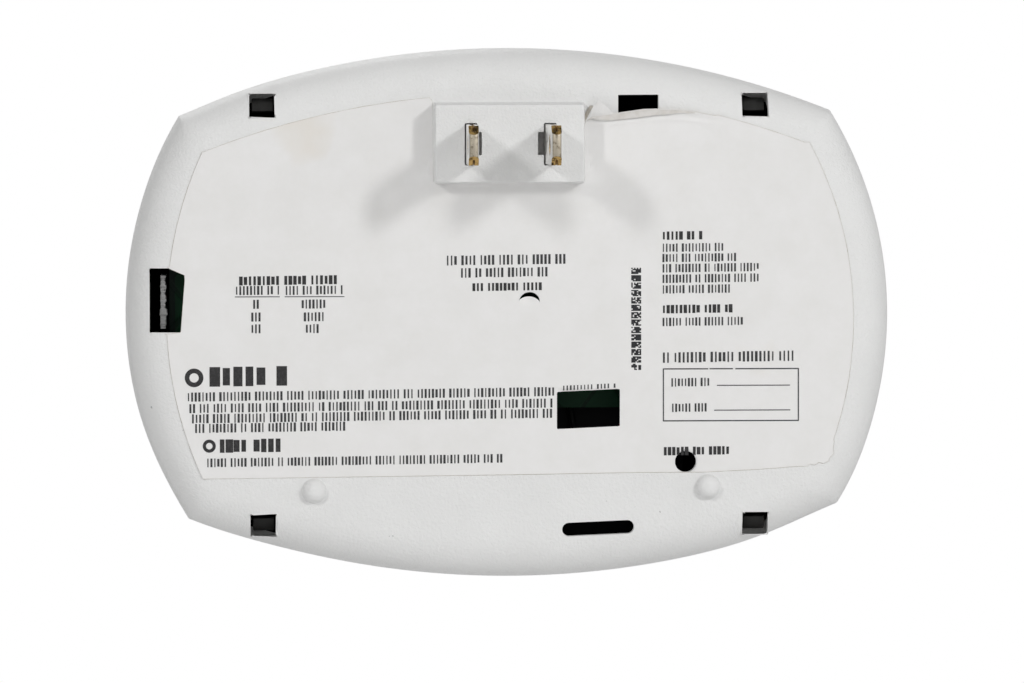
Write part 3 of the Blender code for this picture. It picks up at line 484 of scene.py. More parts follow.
def folded_strip():
    """The strip's side view, (x, y): up one face, over the fold in a half ellipse, and down inside."""
    turn = np.linspace(math.pi, 0, 17)
    far, near = blade_thick / 2, leaf_gap / 2
    outer_y = blade_length - fold_depth
    inner_y = outer_y - leaf_gap
    outer = np.stack([far * np.cos(turn), outer_y + fold_depth * np.sin(turn)], -1)
    inner = np.stack([near * np.cos(turn[::-2]), inner_y + near * np.sin(turn[::-2])], -1)
    tail = [(far, tail_y), (near, tail_y)]
    return np.concatenate([[(-far, tail_y)], outer, tail, inner, [(-near, tail_y)]])


def across_blade(outline, near_x, far_x):
    """A closed outline given as (y, z), carried across the blade's thickness."""
    y, z = np.array(outline).T
    return lofted("tool", np.stack([np.stack([np.full(len(y), x), y, z], -1) for x in (near_x, far_x)]))


def mottled(name, roughness, first, second, cloud, low, high, metallic=0.0):
    """A finish that goes from one screen colour to another as noise rises from low to high.

    The cloud is the noise's scale and detail, and its roughness where it isn't the usual one."""
    material, tree, shader = plain_material(name, roughness, metallic)
    tone = banded(tree, noise(tree, *cloud), low, high)
    tree.links.new(blended(tree, tone, screen(*first), screen(*second)), shader.inputs["Base Color"])
    return material


def metal(name, roughness, clean, stained, scale, low, high, depth):
    """Bare metal with a stain in patches and a fine unevenness."""
    material = mottled(name, roughness, clean, stained, (scale, 5, 0.65), low, high, 1.0)
    roughened(material.node_tree, noise(material.node_tree, scale * 2.5, 3), depth)
    return material


nickel = metal("nickel_plate", 0.28, (246, 245, 242), (228, 222, 208), 500, 0.6, 0.8, 0.000004)
worn = metal("worn_plate", 0.5, (186, 177, 160), (104, 94, 78), 1300, 0.5, 0.7, 0.00001)
brass = metal("bare_brass", 0.4, (200, 166, 104), (66, 52, 28), 900, 0.46, 0.60, 0.00001)


def bevelled(obj, width, angle=30):
    """Round the edges sharper than an angle, and keep the result."""
    bevel = obj.modifiers.new("edges", "BEVEL")
    bevel.width, bevel.segments, bevel.limit_method = width, 2, "ANGLE"
    bevel.angle_limit = math.radians(angle)
    return settle(obj)


def face_arrays(obj):
    """The middles and the normals of an object's faces, each as x, y and z arrays."""
    faces = obj.data.polygons
    both = np.empty((2, len(faces) * 3), np.float32)
    faces.foreach_get("center", both[0])
    faces.foreach_get("normal", both[1])
    return both.astype(float).reshape(2, -1, 3).transpose(0, 2, 1)


for name, side, lean in (("blade_left", 1, 0.35), ("blade_right", -1, -1.0)):
    section = folded_strip()
    levels = np.array([-0.5, 0.5]) * blade_width
    rows = [np.stack([*section.T, np.full(len(section), level)], -1) for level in levels]
    strip = lofted("folded_" + name, np.stack(rows), nickel)
    strip.data.materials.append(brass)
    strip.data.materials.append(worn)
    above = blade_length + 1 * MM
    cuts = []
    for end in (-1, 1):
        flat, edge, beyond = end * tip_flat, end * blade_width / 2, end * 4.2 * MM
        low = blade_length - tip_drop
        lower = low - tip_drop / (edge - flat) * (beyond - edge)
        corner = [(above, flat), (blade_length, flat), (low, edge), (lower, beyond), (above, beyond)]
        cuts.append(across_blade(corner, -1.5 * MM, 1.5 * MM))
    turn = full_turn(48)
    hole = np.stack([hole_y + hole_radius * np.cos(turn), hole_radius * np.sin(turn)], -1)
    cuts.append(across_blade(hole, -1.5 * MM, 1.5 * MM))
    cut_with(strip, cuts)
    bevelled(strip, 0.07 * MM)
    (x, y, z), facing = face_arrays(strip)
    facing = np.abs(facing)
    cut_corner = (facing[2] > 0.3) & (facing[1] > 0.3) & (y > blade_length - tip_drop - 0.05 * MM)
    in_hole = np.hypot(y - hole_y, z) < hole_radius + 0.15 * MM
    between = np.abs(x) < leaf_gap
    fold = y > blade_length - 0.5 * MM
    flank = (facing[0] > 0.7) & ~between
    bare = cut_corner | in_hole | (between & ~fold)
    finish = np.where(flank, 0, np.where(bare, 1, 2 * fold))
    strip.data.polygons.foreach_set("material_index", finish.astype(np.int32))
    co = np.array([v.co for v in strip.data.vertices])
    cos, sin = math.cos(math.radians(lean)), math.sin(math.radians(lean))
    leaning_x = co[:, 0] * cos + co[:, 1] * sin + side * blade_spacing / 2
    leaning_y = np.minimum(-co[:, 0] * sin + co[:, 1] * cos, blade_length)
    strip.data.vertices.foreach_set("co", np.stack([leaning_x, leaning_y, co[:, 2]], -1).ravel())
    strip.data.update()
    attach(strip, "alarm")
    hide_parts(name)


# ----------------------------------------------------------------------
# Label: a self-adhesive paper label, die-cut to follow the housing and cut away round the plug block
# and windows. It is torn at the round hole and its lower right corner, punched in the middle, pushed
# up against the block, and curls where it bridges the upper window.

label_y = back_y + 0.1 * MM


def arc_points(centre, radius, start, end, count):
    """An arc from the direction of a start point round to an end angle."""
    turn = np.linspace(math.atan2(start[1] - centre[1], start[0] - centre[0]), end, count)
    return np.stack([centre[0] + radius * np.cos(turn), centre[1] + radius * np.sin(turn)], -1)


over_x = np.array([-14.0, -15.6, -17.4, -20, -22.5, -24.5, -27.4, -30.4, -33.0])
over_z = np.array([31.9, 32.0, 32.35, 32.65, 32.85, 32.95, 32.95, 32.6, 32.1])


def label_edge():
    """The label's outline from its lower left corner, seen from the wall side as -x running right."""
    side = arc_points((-7.5, 0), 62.7, (49.5, -26.2), math.asin(26.5 / 62.7), 60)
    notch = [(55.1, 7.9), (54.6, 7.6), (52.3, 6.6), (52.25, 5.9), (52.9, -2.4), (53.0, -2.6), (55.4, -2.9)]
    low, high = side[side[:, 1] < -2.9], side[side[:, 1] > 7.9]
    crown = arc_points((0, -99), 134.7, (49.2, 26.5), math.atan2(133.9, 12.9), 60)
    block = [(12.6, 34.8), (12.4, 34.4), (12.3, 28), (12.3, 21.6), (12.1, 21.35), (8, 21.35), (0, 21.35)]
    block += [(-8, 21.35), (-11.85, 21.35), (-12.02, 21.6), (-12.02, 28), (-12.1, 30.6)]
    flap = [(-12.4, 31.5), (-12.9, 31.9), (-14.1, 32.0), (-15.6, 32.1)]
    over_window = list(zip(over_x, over_z))[2:]
    far_crown = arc_points((0, -99), 135.4, (-33.5, 31.95), math.atan2(127.0, -47.6), 30)
    far_side = arc_points((4.9, -0.7), 60.4, (-48.4, 27.8), math.pi + math.asin(19.6 / 60.4), 60)
    torn = [(-52.4, -20.4), (-52.2, -21.6), (-52.3, -22.5), (-51.6, -23.2), (-51.5, -23.7), (-50.6, -24.1)]
    torn += [(-49.9, -23.9), (-49.2, -24.35), (-48.5, -24.15), (-47.9, -24.6), (-47.0, -24.5)]
    foot = [(-40, -25.0), (-31.3, -25.4), (-21, -25.4), (0, -25.7), (25, -25.95), (48.9, -26.2)]
    near_half = [low, notch[::-1], high, crown, block, flap, over_window]
    return np.concatenate([*near_half, far_crown, far_side, torn, foot])


def smooth_pulse(distance, width):
    """1 at no distance, falling smoothly to 0 at a few widths."""
    return np.exp(-((np.maximum(distance, 0) / width) ** 2))


def label_lift(x, z):
    """How far the label stands off the back, in metres, for places in mm.

    Slow ripples; a roll against the block's lower edge; a ridge along the upper window; soft dips over
    two sink marks and at the lower window; and a deeper dip where the middle is punched in."""
    ripple = 0.012 * np.sin(x * 0.31 + 1.3 * np.sin(z * 0.17)) * np.sin(z * 0.43 + 0.4)
    under_block = smooth_pulse(np.abs(x) - 10, 3.5) * smooth_pulse(z - 21.4, 1.5)
    roll = (0.3 * smooth_pulse(21.4 - z, 0.5) + 1.4 * smooth_pulse(21.4 - z, 3.8)) * under_block
    below_edge = np.interp(-x, -over_x, over_z) - z
    along_edge = np.clip((-x - 13.4) / 1.5, 0, 1) * np.clip((36 + x) / 6, 0, 1)
    ridge = 0.3 * smooth_pulse(below_edge, 0.6) + 0.14 * smooth_pulse(np.abs(below_edge - 1.5), 0.3)
    bridge = ridge * along_edge
    marks = ((-40.5, 9.4), (-34, -9))
    sink = sum(-0.05 * smooth_pulse(np.hypot(x - a, z - b) - 1.5, 0.5) for a, b in marks)
    sag = -0.3 * smooth_pulse(np.abs(x + 12.65) - 4.6, 0.5) * smooth_pulse(np.abs(z + 12.3), 0.3)
    punched = -0.55 * smooth_pulse(np.hypot(x + 3.1, (z - 3.0) * 1.3), 1.25) * (z < 3.6)
    return (ripple + roll + bridge + sink + sag + punched) * MM


def inside_of(outline, x, z):
    """Even-odd test of many places against one closed outline."""
    ax, az = outline.T
    bx, bz = np.roll(ax, -1), np.roll(az, -1)
    crosses = (az[:, None] > z) != (bz[:, None] > z)
    with np.errstate(divide="ignore", invalid="ignore"):
        at = ax[:, None] + (z - az[:, None]) * (bx - ax)[:, None] / (bz - az)[:, None]
    return (crosses & (x < at)).sum(0) % 2 == 1


def crescent(x, z, radius, shift, count=24):
    """The opening left when a punched disc folds in: between one arc and a flatter one."""
    turn = np.linspace(math.radians(-4), math.radians(188), count)
    outer = np.stack([x + radius * np.cos(turn), z + radius * np.sin(turn)], -1)
    pull = shift * np.sin(np.linspace(0, math.pi, count)) ** 0.7
    inner = np.stack([outer[:, 0], outer[:, 1] - pull], -1)
    return np.concatenate([outer, inner[-2:0:-1]])


def leaning(shape, x, slope=-0.045):
    """A shape sheared so that its level edges climb by slope per unit across."""
    return shape + np.stack([0 * shape[:, 0], slope * (shape[:, 0] - x)], -1)


outline = label_edge()
holes = [
    leaning(uneven_box(-12.65, -15.15, 10.15, 6.0, 0.04, 81, 40), -12.65),
    ring(-28.35, -23.7, 1.95, 60, 0.18, 82),
    crescent(-3.1, 2.25, 1.72, 0.95),
]
rims = [outline, *holes]


def on_paper(x, z):
    """Which places are inside the outline and outside every hole."""
    return inside_of(outline, x, z) & ~np.any([inside_of(hole, x, z) for hole in holes], axis=0)


# Points on a square grid, then on finer grids where the label curls, rolls or dips.
patches = [(-57, 57, -27, 36, 0.9), (-17.4, -12.4, 30.4, 34.8, 0.17), (-13, 13, 19.4, 21, 0.3)]
patches += [(-36, -17.4, 30.4, 33.2, 0.24), (-6, 0, 0.5, 4.5, 0.25), (-18.5, -7, -12.6, -11, 0.25)]
inner = []
for x0, x1, z0, z1, step in patches:
    grid = np.meshgrid(np.arange(x0, x1, step), np.arange(z0, z1, step))
    inner.append(np.reshape(grid, (2, -1)).T)
inner = np.concatenate(inner)
inner = inner[on_paper(*inner.T)]
for rim in rims:
    apart = np.hypot(*(inner[:, None] - rim[None]).transpose(2, 0, 1))
    inner = inner[apart.min(axis=1) > 0.12]
points, edges = [], []
for rim in rims:
    first = len(points)
    points += rim.tolist()
    edges += [(first + i, first + (i + 1) % len(rim)) for i in range(len(rim))]
points += inner.tolist()
flat_points, _, triangles, *_ = delaunay_2d_cdt([Vector(p) for p in points], edges, [], 0, 1e-5)
flat_points = np.array([(p.x, p.y) for p in flat_points])
triangles = np.array(triangles)
triangles = triangles[on_paper(*flat_points[triangles].mean(1).T)]
used = np.unique(triangles)
renumber = np.zeros(len(flat_points), int)
renumber[used] = np.arange(len(used))
flat_points = flat_points[used]
paper_thick = 0.1 * MM
flat_x, flat_z = flat_points.T * MM
label_level = np.minimum(label_y, skin_y(flat_x, flat_z) + paper_thick) + label_lift(*flat_points.T)


def label_paper():
    """Off-white paper with a fine tooth, faintly browned in a few patches."""
    material, tree, shader = plain_material("label_paper", 0.55)
    fibre = banded(tree, noise(tree, 160, 6, 0.7), 0.35, 0.65)
    sheet = blended(tree, fibre, screen(231, 230, 228), screen(235, 234, 233))
    stain = banded(tree, noise(tree, 45, 3, 0.5), 0.66, 0.80)
    tree.links.new(blended(tree, stain, sheet, screen(226, 220, 210)), shader.inputs["Base Color"])
    roughened(tree, noise(tree, 1700, 4, 0.7), 0.000012)
    return material


paper = label_paper()



def thickened(sheet, thickness):
    """Turn a sheet's faces towards the wall, and give it its thickness on the other side."""
    if sum(face.normal.y * face.area for face in sheet.data.polygons) < 0:
        sheet.data.flip_normals()
    solid = sheet.modifiers.new("paper", "SOLIDIFY")
    solid.thickness, solid.offset = thickness, -1
    return settle(sheet)


label = new_object("label_sheet", placed(flat_x, label_level, flat_z), renumber[triangles].tolist(), paper)
thickened(label, paper_thick)
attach(label, "alarm")
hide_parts("back_label")

# Gum colour for the soiled line along the label's edge, and also painted shade on the flap's underside in
# the gap beside the block.
gum_and_painted_shade = mottled("gummed_side_and_painted_shade", 0.5, (202, 197, 188), (180, 172, 160), (700, 4, 0.6), 0.4, 0.65)
# Painted shade: a darker paper tone for the curl's slope that faces down, away from the lamps.
curl_painted_shade = mottled("curl_painted_shade_paper", 0.5, (226, 223, 219), (214, 210, 204), (500, 4, 0.6), 0.4, 0.65)


def folded_paper(name, rows, material, columns=40):
    """A sheet through rows of (x, z, height) in mm, each row evened out along its own length."""
    even = []
    for row in rows:
        row = np.array(row, float)
        along = np.r_[0, np.cumsum(np.hypot(*np.diff(row[:, :2], axis=0).T))]
        steps = np.linspace(0, along[-1], columns)
        even.append([np.interp(steps, along, axis) for axis in row.T])
    x, z, high = np.stack(even, 1)
    y = label_y + (high + 0.02 * np.sin(x * 9 + z * 5)) * MM
    index = np.arange(x.size).reshape(x.shape)
    quads = np.stack([index[:-1, :-1], index[1:, :-1], index[1:, 1:], index[:-1, 1:]], -1)
    points = placed(x * MM, y, z * MM).reshape(-1, 3)
    sheet = thickened(new_object(name, points, quads.reshape(-1, 4).tolist(), material), 0.09 * MM)
    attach(sheet, "alarm")


# The curl: a ridge along the window's lower edge, a band below it that lies back down, and a lip. The ridge
# and band are painted a darker paper tone as painted shade on the curl's down-facing slope; the lip keeps
# the plain paper.
ridge = [(-12.5, 31.6, 0.35), (-13.2, 31.9, 0.5), (-15.0, 32.12, 0.7), (-17.2, 32.38, 0.9)]
ridge += [(-19.5, 32.72, 0.95), (-21.6, 33.0, 0.95), (-23.6, 33.05, 0.9), (-25.6, 32.95, 0.7)]
ridge += [(-27.2, 32.9, 0.55), (-30.4, 32.6, 0.25)]
band = [(-12.6, 31.4, 0.52), (-13.3, 31.7, 0.57), (-14.4, 31.4, 0.47), (-16.0, 31.3, 0.42)]
band += [(-17.9, 31.5, 0.42), (-20.8, 31.8, 0.47), (-23.6, 32.2, 0.52), (-25.6, 32.3, 0.47)]
band += [(-27.2, 32.5, 0.42), (-30.4, 32.4, 0.22)]
crest = [(x, z + 0.12, high + 0.1) for x, z, high in ridge]
lip = [(x, z + 0.16, high + 0.02) for x, z, high in ridge]
folded_paper("label_curl", [crest, ridge, band], curl_painted_shade, 60)
folded_paper("label_curl_lip", [lip, crest], paper, 60)

# The flap: a small triangle folded up beside the block, which shows its gummed side at one edge; that
# underside strip is darkened to a taupe that is painted shade for the gap between block and flap.
flap_foot = [(-12.0, 30.9, 0.2), (-13.15, 31.9, 0.55), (-15.0, 32.2, 0.8), (-16.9, 32.4, 0.9)]
flap_fold = [(-12.5, 31.85, 0.5), (-13.35, 32.8, 1.2), (-14.95, 32.75, 1.3), (-16.4, 32.85, 1.0)]
flap_top = [(-12.87, 32.63, 0.8), (-13.42, 33.59, 1.6), (-14.26, 34.63, 2.1)]
flap_top += [(-15.44, 33.68, 1.5), (-16.93, 32.41, 0.9)]
folded_paper("label_flap", [flap_foot, flap_fold, flap_top], paper)
shade_out = [(-11.85, 30.92, 0.12), (-11.85, 31.82, 0.15), (-12.35, 32.81, 0.2)]
shade_out += [(-12.9, 33.72, 0.3), (-13.36, 33.75, 0.4)]
shade_in = [(-12.0, 30.92, 0.2), (-12.45, 31.74, 0.5), (-12.95, 32.63, 0.8)]
shade_in += [(-13.3, 33.3, 1.1), (-13.5, 33.62, 1.3)]
folded_paper("label_flap_underside_painted_shade", [shade_out, shade_in], gum_and_painted_shade)

# A soiled line of gum along the label's edge, its width wandering by a product of two sines.
away = np.gradient(np.concatenate([outline[-1:], outline, outline[:1]]), axis=0)[1:-1]
away = np.stack([-away[:, 1], away[:, 0]], -1) / np.hypot(*away.T)[:, None]
away *= np.sign((away * outline).sum(1).mean())
step = np.arange(len(outline))
grime = 0.015 + 0.035 * np.abs(np.sin(step * 0.37) * np.sin(step * 0.11))
rows = []
for out, up in ((-0.04, 0.0), (-0.04, 0.13), (grime, 0.02), (grime, 0.0)):
    edge = outline + np.broadcast_to(out, len(outline))[:, None] * away
    level = np.minimum(back_y, skin_y(*edge.T * MM)) + up * MM + label_lift(*edge.T) * (up > 0)
    rows.append(placed(edge[:, 0] * MM, level, edge[:, 1] * MM))
gum = hoop("label_gum_line", rows, gum_and_painted_shade)
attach(gum, "alarm")


# ----------------------------------------------------------------------
# Print on the label: plain word-bars in the places of its headings, lists and boxes, a ring in place of
# each sign, and loose dots in place of the date stamp. The ink stands 0.025 mm off the paper.

ink_film = (-0.01 * MM, 0.025 * MM)
rng = np.random.default_rng(7)


def word_bars(start, end, level, height, weight=0.5, rise=0.012, pitch=0.36):
    """Bars (x, z, width, height) in mm for one line: words of 2 to 9 upright bars of random width."""
    bars, at, step = [], start, height * pitch
    while at - step > end:
        for width in rng.uniform(0.65, 1.35, rng.integers(2, 10)) * weight * step:
            if at - step < end:
                break
            tall = height * rng.choice((0.9, 0.9, 0.9, 0.8))
            bars.append((at - step / 2, level + rise * (start - at), width, tall))
            at -= step
        at -= step * 0.8
    return bars


def bars_mesh(name, bars, material):
    """A thin ink film for each bar, in lengths of 1.5 mm at most, laid on the label wherever it lies."""
    short = []
    for x, z, wide, high in bars:
        across, up = math.ceil(wide / 1.5), math.ceil(high / (1.5 if wide < 0.3 and high > 4 else 4))
        for i in range(across):
            for j in range(up):
                short_x, short_z = x + wide * ((i + 0.5) / across - 0.5), z + high * ((j + 0.5) / up - 0.5)
                short.append((short_x, short_z, wide / across, high / up))
    x, z, wide, high = np.array(short).T
    base = label_y + label_lift(x, z)
    corners = [
        placed((x + a * wide / 2) * MM, base + up, (z + b * high / 2) * MM)
        for up in ink_film
        for a, b in ((-1, -1), (1, -1), (1, 1), (-1, 1))
    ]
    vertices = np.stack(corners, 1).reshape(-1, 3)
    box = np.array([(0, 1, 2, 3), (4, 5, 6, 7), (0, 1, 5, 4), (1, 2, 6, 5), (2, 3, 7, 6), (3, 0, 4, 7)])
    faces = (np.arange(len(short))[:, None, None] * 8 + box).reshape(-1, 4).tolist()
    obj = new_object(name, vertices, faces, material)
    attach(obj, "alarm")


def ink(name, level):
    """Flat dark ink, thinner in places."""
    return mottled(name, 0.6, level, [c + 22 for c in level], (2400, 2), 0.45, 0.75)


heavy = []
for start, end, level, height, weight, pitch in (
    (43.6, 27.4, 5.65, 1.6, 0.62, 0.46),
    (6.1, -5.5, 4.55, 1.4, 0.62, 0.46),
    (48.4, 35.3, -9.75, 3.5, 0.82, 0.53),
    (46.9, 35.8, -20.9, 2.4, 0.82, 0.48),
    (-24.5, -31.2, 12.75, 1.5, 0.66, 0.46),
    (-24.5, -36.4, 0.9, 1.5, 0.66, 0.46),
    (-24.7, -36.0, -22.0, 1.5, 0.66, 0.46),
):
    heavy += word_bars(start, end, level, height, weight, pitch=pitch)
light = word_bars(44.2, 36.9, 4.1, 1.6) + word_bars(36.2, 26.5, 4.1, 1.6)
for level, first, second in ((1.9, 1.4, 4.2), (-0.15, 2.0, 3.5), (-2.05, 2.0, 2.9)):
    light += word_bars(40.7 + first / 2, 40.5 - first / 2, level, 1.6)
    light += word_bars(31.5 + second / 2, 31.3 - second / 2, level, 1.6)
light += word_bars(10.3, -9.4, 8.85, 1.75) + word_bars(8.0, -7.3, 6.85, 1.7)
for end, level in ((-35.0, 10.8), (-37.0, 9.15), (-40.5, 7.5), (-40.7, 5.8), (-35.8, 4.1), (-37.8, -1.15)):
    light += word_bars(-24.5, end, level, 1.5)
light += word_bars(-24.5, -46.5, -6.9, 1.85)
light += word_bars(-25.9, -32.5, -10.9, 1.5) + word_bars(-26.0, -32.1, -15.0, 1.5)
light += word_bars(-8.4, -17.7, -11.75, 0.85, 0.4, rise=0.045, pitch=0.66)
paragraph = [(52.0, -7.6, -13.0), (51.7, -7.2, -14.85), (51.3, -7.2, -16.5), (50.8, 25.9, -18.05)]
for start, end, level in paragraph:
    light += word_bars(start, end, level, 1.62)
light += word_bars(48.9, 0.8, -23.6, 1.55)
rules = [(40.6, 3.1, 7.2, 0.14), (31.4, 3.1, 9.6, 0.14)]
rules += [(-39.3, -11.4, 11.8, 0.16), (-39.1, -15.4, 12.3, 0.16)]
rules += [(-35.65, -8.72, 21.9, 0.2), (-35.65, -17.1, 21.9, 0.2)]
rules += [(-24.75, -12.9, 0.2, 8.5), (-46.55, -12.9, 0.2, 8.5)]
bars_mesh("print_headings", heavy, ink("ink_bold", (34, 33, 34)))
bars_mesh("print_lines", light, ink("ink_text", (46, 46, 48)))
bars_mesh("print_rules", rules, ink("ink_rules", (60, 60, 62)))

stamp = []
for letter in range(14):
    for row in range(5):
        for column in range(7):
            if rng.random() < 0.78:
                stamp.append((-19.7 - column * 0.225, 7.5 - letter * 1.19 - row * 0.2, 0.24, 0.21))
bars_mesh("print_stamp", stamp, ink("ink_stamp", (24, 24, 28)))

sign_ink = ink("ink_sign", (34, 33, 34))
for number, (x, z, radius) in enumerate([(50.8, -9.9, 1.5), (48.4, -20.9, 1.05)]):
    turn = full_turn(48)
    rows = []
    for out, up in ((radius, 0), (radius, 1), (radius * 0.5, 1), (radius * 0.5, 0)):
        round_x, round_z = x + out * np.cos(turn), z + out * np.sin(turn)
        rows.append(placed(round_x * MM, label_y + ink_film[up] + label_lift(x, z), round_z * MM))
    sign = hoop(f"print_sign_{number + 1}", rows, sign_ink)
    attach(sign, "alarm")


# ----------------------------------------------------------------------
# Front cover: a matching dish of white ABS with a lip inside the parting line. It has sounder slots,
# gas vents, an opening for the button, two holes for the lights, and four catches that reach back into
# the rear housing's windows.

front_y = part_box("front_cover")[0].y / MM
front_white = moulded("front_white_abs", screen(236, 236, 235), 0.40, 0.000014, 0.015, 0.3)
front_round = 7
step_y = front_y + front_round
lip_y = rim_y - 0.3
step_in = 0.12
side_slope = (draft - step_in) / (lip_y - step_y)
outside = [(front_y, draft + front_round + 0.5)]
outside += rounding(step_y, -front_round, draft, quarter_turn[::-1])
outside += [(y, step_in + side_slope * (lip_y - y)) for y in np.linspace(step_y + 1.2, lip_y - 1.2, 6)]
outside += [(lip_y - 0.4, step_in), (lip_y - 0.18, 0.16), (lip_y - 0.05, 0.3), (lip_y, 0.5), (lip_y, 2.05)]
outside += [(lip_y + 1.2, 2.1), (lip_y + 1.4, 2.25), (lip_y + 1.4, 2.9)]
outside += [(lip_y + 1.2, 3.0), (lip_y - 1.5, 3.0)]
inside = [(lip_y - 2.2, 2.1)]
inside += rounding(step_y, wall - front_round, draft + wall, quarter_turn[::2])
inside += [(front_y + wall, draft + front_round + 0.5)]
front_profile = [(y, inset, 0.35 + 1.3 * inset) for y, inset in outside]
front_profile += [(y, inset, 0.6 + 0.8 * inset) for y, inset in inside]
front_cover = shell("front_shell", front_profile, front_white)


def middle_of(node):
    """A CAD node's middle across and up, from the middle of the housing."""
    low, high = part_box(node)
    return (low.x + high.x) / 2 - middle_x, (low.z + high.z) / 2 - middle_z


horn, sensor, push = middle_of("horn_cap"), middle_of("sensor_cap"), middle_of("test_button")
push_low, push_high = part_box("test_button")
through = ((front_y - 1) * MM, (front_y + 2.6) * MM)
grille_radius, vent_pitch = 10.5 * MM, 3.6 * MM
openings = []
for offset in (-8 * MM, -4 * MM, 0, 4 * MM, 8 * MM):
    length = 2 * math.sqrt(grille_radius**2 - offset**2)
    openings.append(capsule(horn[0], horn[1] + offset, length, 1.8 * MM))
for column in range(6):
    vent_x = sensor[0] + (column - 2.5) * vent_pitch
    openings.append(capsule(vent_x, sensor[1], 14 * MM, 1.6 * MM, math.pi / 2))
gap = 0.6 * MM
openings.append(capsule(*push, push_high.x - push_low.x + gap, push_high.z - push_low.z + gap))
openings += [ring(*middle_of(pipe), 2.1 * MM) for pipe in ("power_light_pipe", "alarm_light_pipe")]
cut_with(front_cover, [joined([prism(opening, *through) for opening in openings])])
# Painted shade: the cover is white plastic, but its inside walls and inner face are painted dark grey to
# stand in for the shade seen through the windows and slots.
front_inside_painted_shade = moulded("front_inside_painted_shade", screen(30, 30, 30), 0.6)
front_cover.data.materials.append(front_inside_painted_shade)
(x, y, z), (_, facing, _) = face_arrays(front_cover)
walls = (y >= (front_y + 1.2) * MM) & (np.abs(facing) < 0.9)
walls &= edge_distance(x - middle_x, z - middle_z) > 1.3 * MM
rounded = (y < step_y * MM) & (facing < -0.05)
dark = (walls | (facing > 0.9)) & ~rounded
front_cover.data.polygons.foreach_set("material_index", dark.astype(np.int32))
bevelled(front_cover, 0.25 * MM, 60)
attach(front_cover, "alarm")
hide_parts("front_cover")

# The four catches: tongues with a sloped hook, seen end on in the rear housing's windows. They belong to
# the white cover; their dark grey is painted shade for the dark inside the windows.
catch_painted_shade_grey = moulded("catch_painted_shade", screen(66, 66, 65), 0.5, 0.00001, 0.05)
for number, (x, z) in enumerate(catches):
    outer = 1 if z > 0 else -1
    tip_y, root_y = -9.6, front_y + 2.4
    hook = [(root_y, -1.2), (tip_y - 1.2, -1.2), (tip_y, -0.9), (tip_y - 0.9, 0.4)]
    hook += [(-11.4, 1.2), (-11.5, 0.4), (root_y, 0.4)]
    y, reach = np.array(hook).T * MM
    rows = [placed(x + out, y, z + outer * reach) for out in (-1.7 * MM, 1.7 * MM)]
    tongue = lofted(f"catch_tongue_{number + 1}", np.stack(rows), catch_painted_shade_grey)
    bevelled(tongue, 0.15 * MM)
    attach(tongue, "alarm")

# A thin rib that stands in the side window, its edge torn: sums of sines along its length.
rib_x = 55.8
levels = np.linspace(-2.2, 6.4, 44)
torn_top = -10.5 - 0.25 * np.abs(np.sin(levels * 2.3)) - 0.15 * np.abs(np.sin(levels * 7.1))
torn_side = 0.1 * np.sin(levels * 3.1) + 0.07 * np.sin(levels * 8.3 + 1)
torn_side += 0.25 * smooth_pulse(np.abs(levels), 0.8)
rows = []
for out, drop in ((-0.42, 0.15), (-0.3, 0), (0.3, 0), (0.42, 0.15)):
    across = rib_x + out + (-torn_side if out < 0 else torn_side * 0.4)
    rows.append(placed(across * MM, (torn_top - drop) * MM, levels * MM))
rows += [placed((rib_x + out) * MM, (front_y + 2.2) * MM, levels * MM) for out in (0.42, -0.42)]
rib = lofted("side_rib", np.stack(rows).transpose(1, 0, 2), front_white)
settle(rib)
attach(rib, "alarm")


# ----------------------------------------------------------------------
# Test button: a moulded capsule with a shallow dish for the fingertip, on a stem that presses a small
# tact switch on the board. The switch keeps its black body, and its plunger follows the button.

button_grey = moulded("button_grey_abs", screen(206, 208, 210), 0.36, 0.000010, 0.02)
length, width = push_high.x - push_low.x, push_high.z - push_low.z
face_y, stem_y = push_low.y, push_high.y


def button_row(y, inset):
    """The button's outline at one depth below its face and inset, in mm."""
    row = capsule(*push, length - 2 * inset * MM, width - 2 * inset * MM)
    return placed(row[:, 0], face_y + y * MM, row[:, 1])


button_profile = [(3.2, 1.2), (3.2, 0), (0.8, 0), (0.45, 0.08), (0.2, 0.25), (0.05, 0.5), (0, 0.8)]
button_profile += [(0.04, 1.3), (0.16, 2.1), (0.3, 3.2), (0.4, 4.2), (0.45, 5.2)]
button_rows = [button_row(y, inset) for y, inset in button_profile]
button_cap = settle(lofted("button_cap", np.stack(button_rows), button_grey))
stem = [(2.4, face_y + 3 * MM), (2.0, face_y + 4 * MM), (1.8, stem_y - 0.3 * MM), (1.5, stem_y)]
button_stem = turned("button_stem", *push, stem, 40, button_grey)
for piece in (button_cap, button_stem):
    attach(piece, "button")
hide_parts("test_button")


def dress(names, material):
    """Give CAD nodes that stay as they are a finish of their own."""
    for name in names.split():
        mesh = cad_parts[name].data
        mesh.materials.clear()
        mesh.materials.append(material)


dress("switch_body", moulded("switch_black", screen(38, 38, 40), 0.5, 0.000006, 0.08))
dress("switch_plunger", moulded("plunger_black", screen(46, 44, 44), 0.42, 0.000004, 0.06))


# ----------------------------------------------------------------------
# Lights: two moulded light pipes of clear acrylic from the cover's face back to a green and a red
# lamp on the board.

acrylic = mottled("clear_acrylic", 0.08, (222, 230, 226), (240, 244, 242), (400, 3), 0.3, 0.7)
acrylic.node_tree.nodes["Principled BSDF"].inputs["Transmission Weight"].default_value = 0.75
acrylic.node_tree.nodes["Principled BSDF"].inputs["IOR"].default_value = 1.49
dress("power_light_pipe alarm_light_pipe", acrylic)
dress("power_led", moulded("green_lens", screen(60, 168, 92), 0.18, 0, 0.06))
dress("alarm_led", moulded("red_lens", screen(196, 40, 36), 0.18, 0, 0.06))
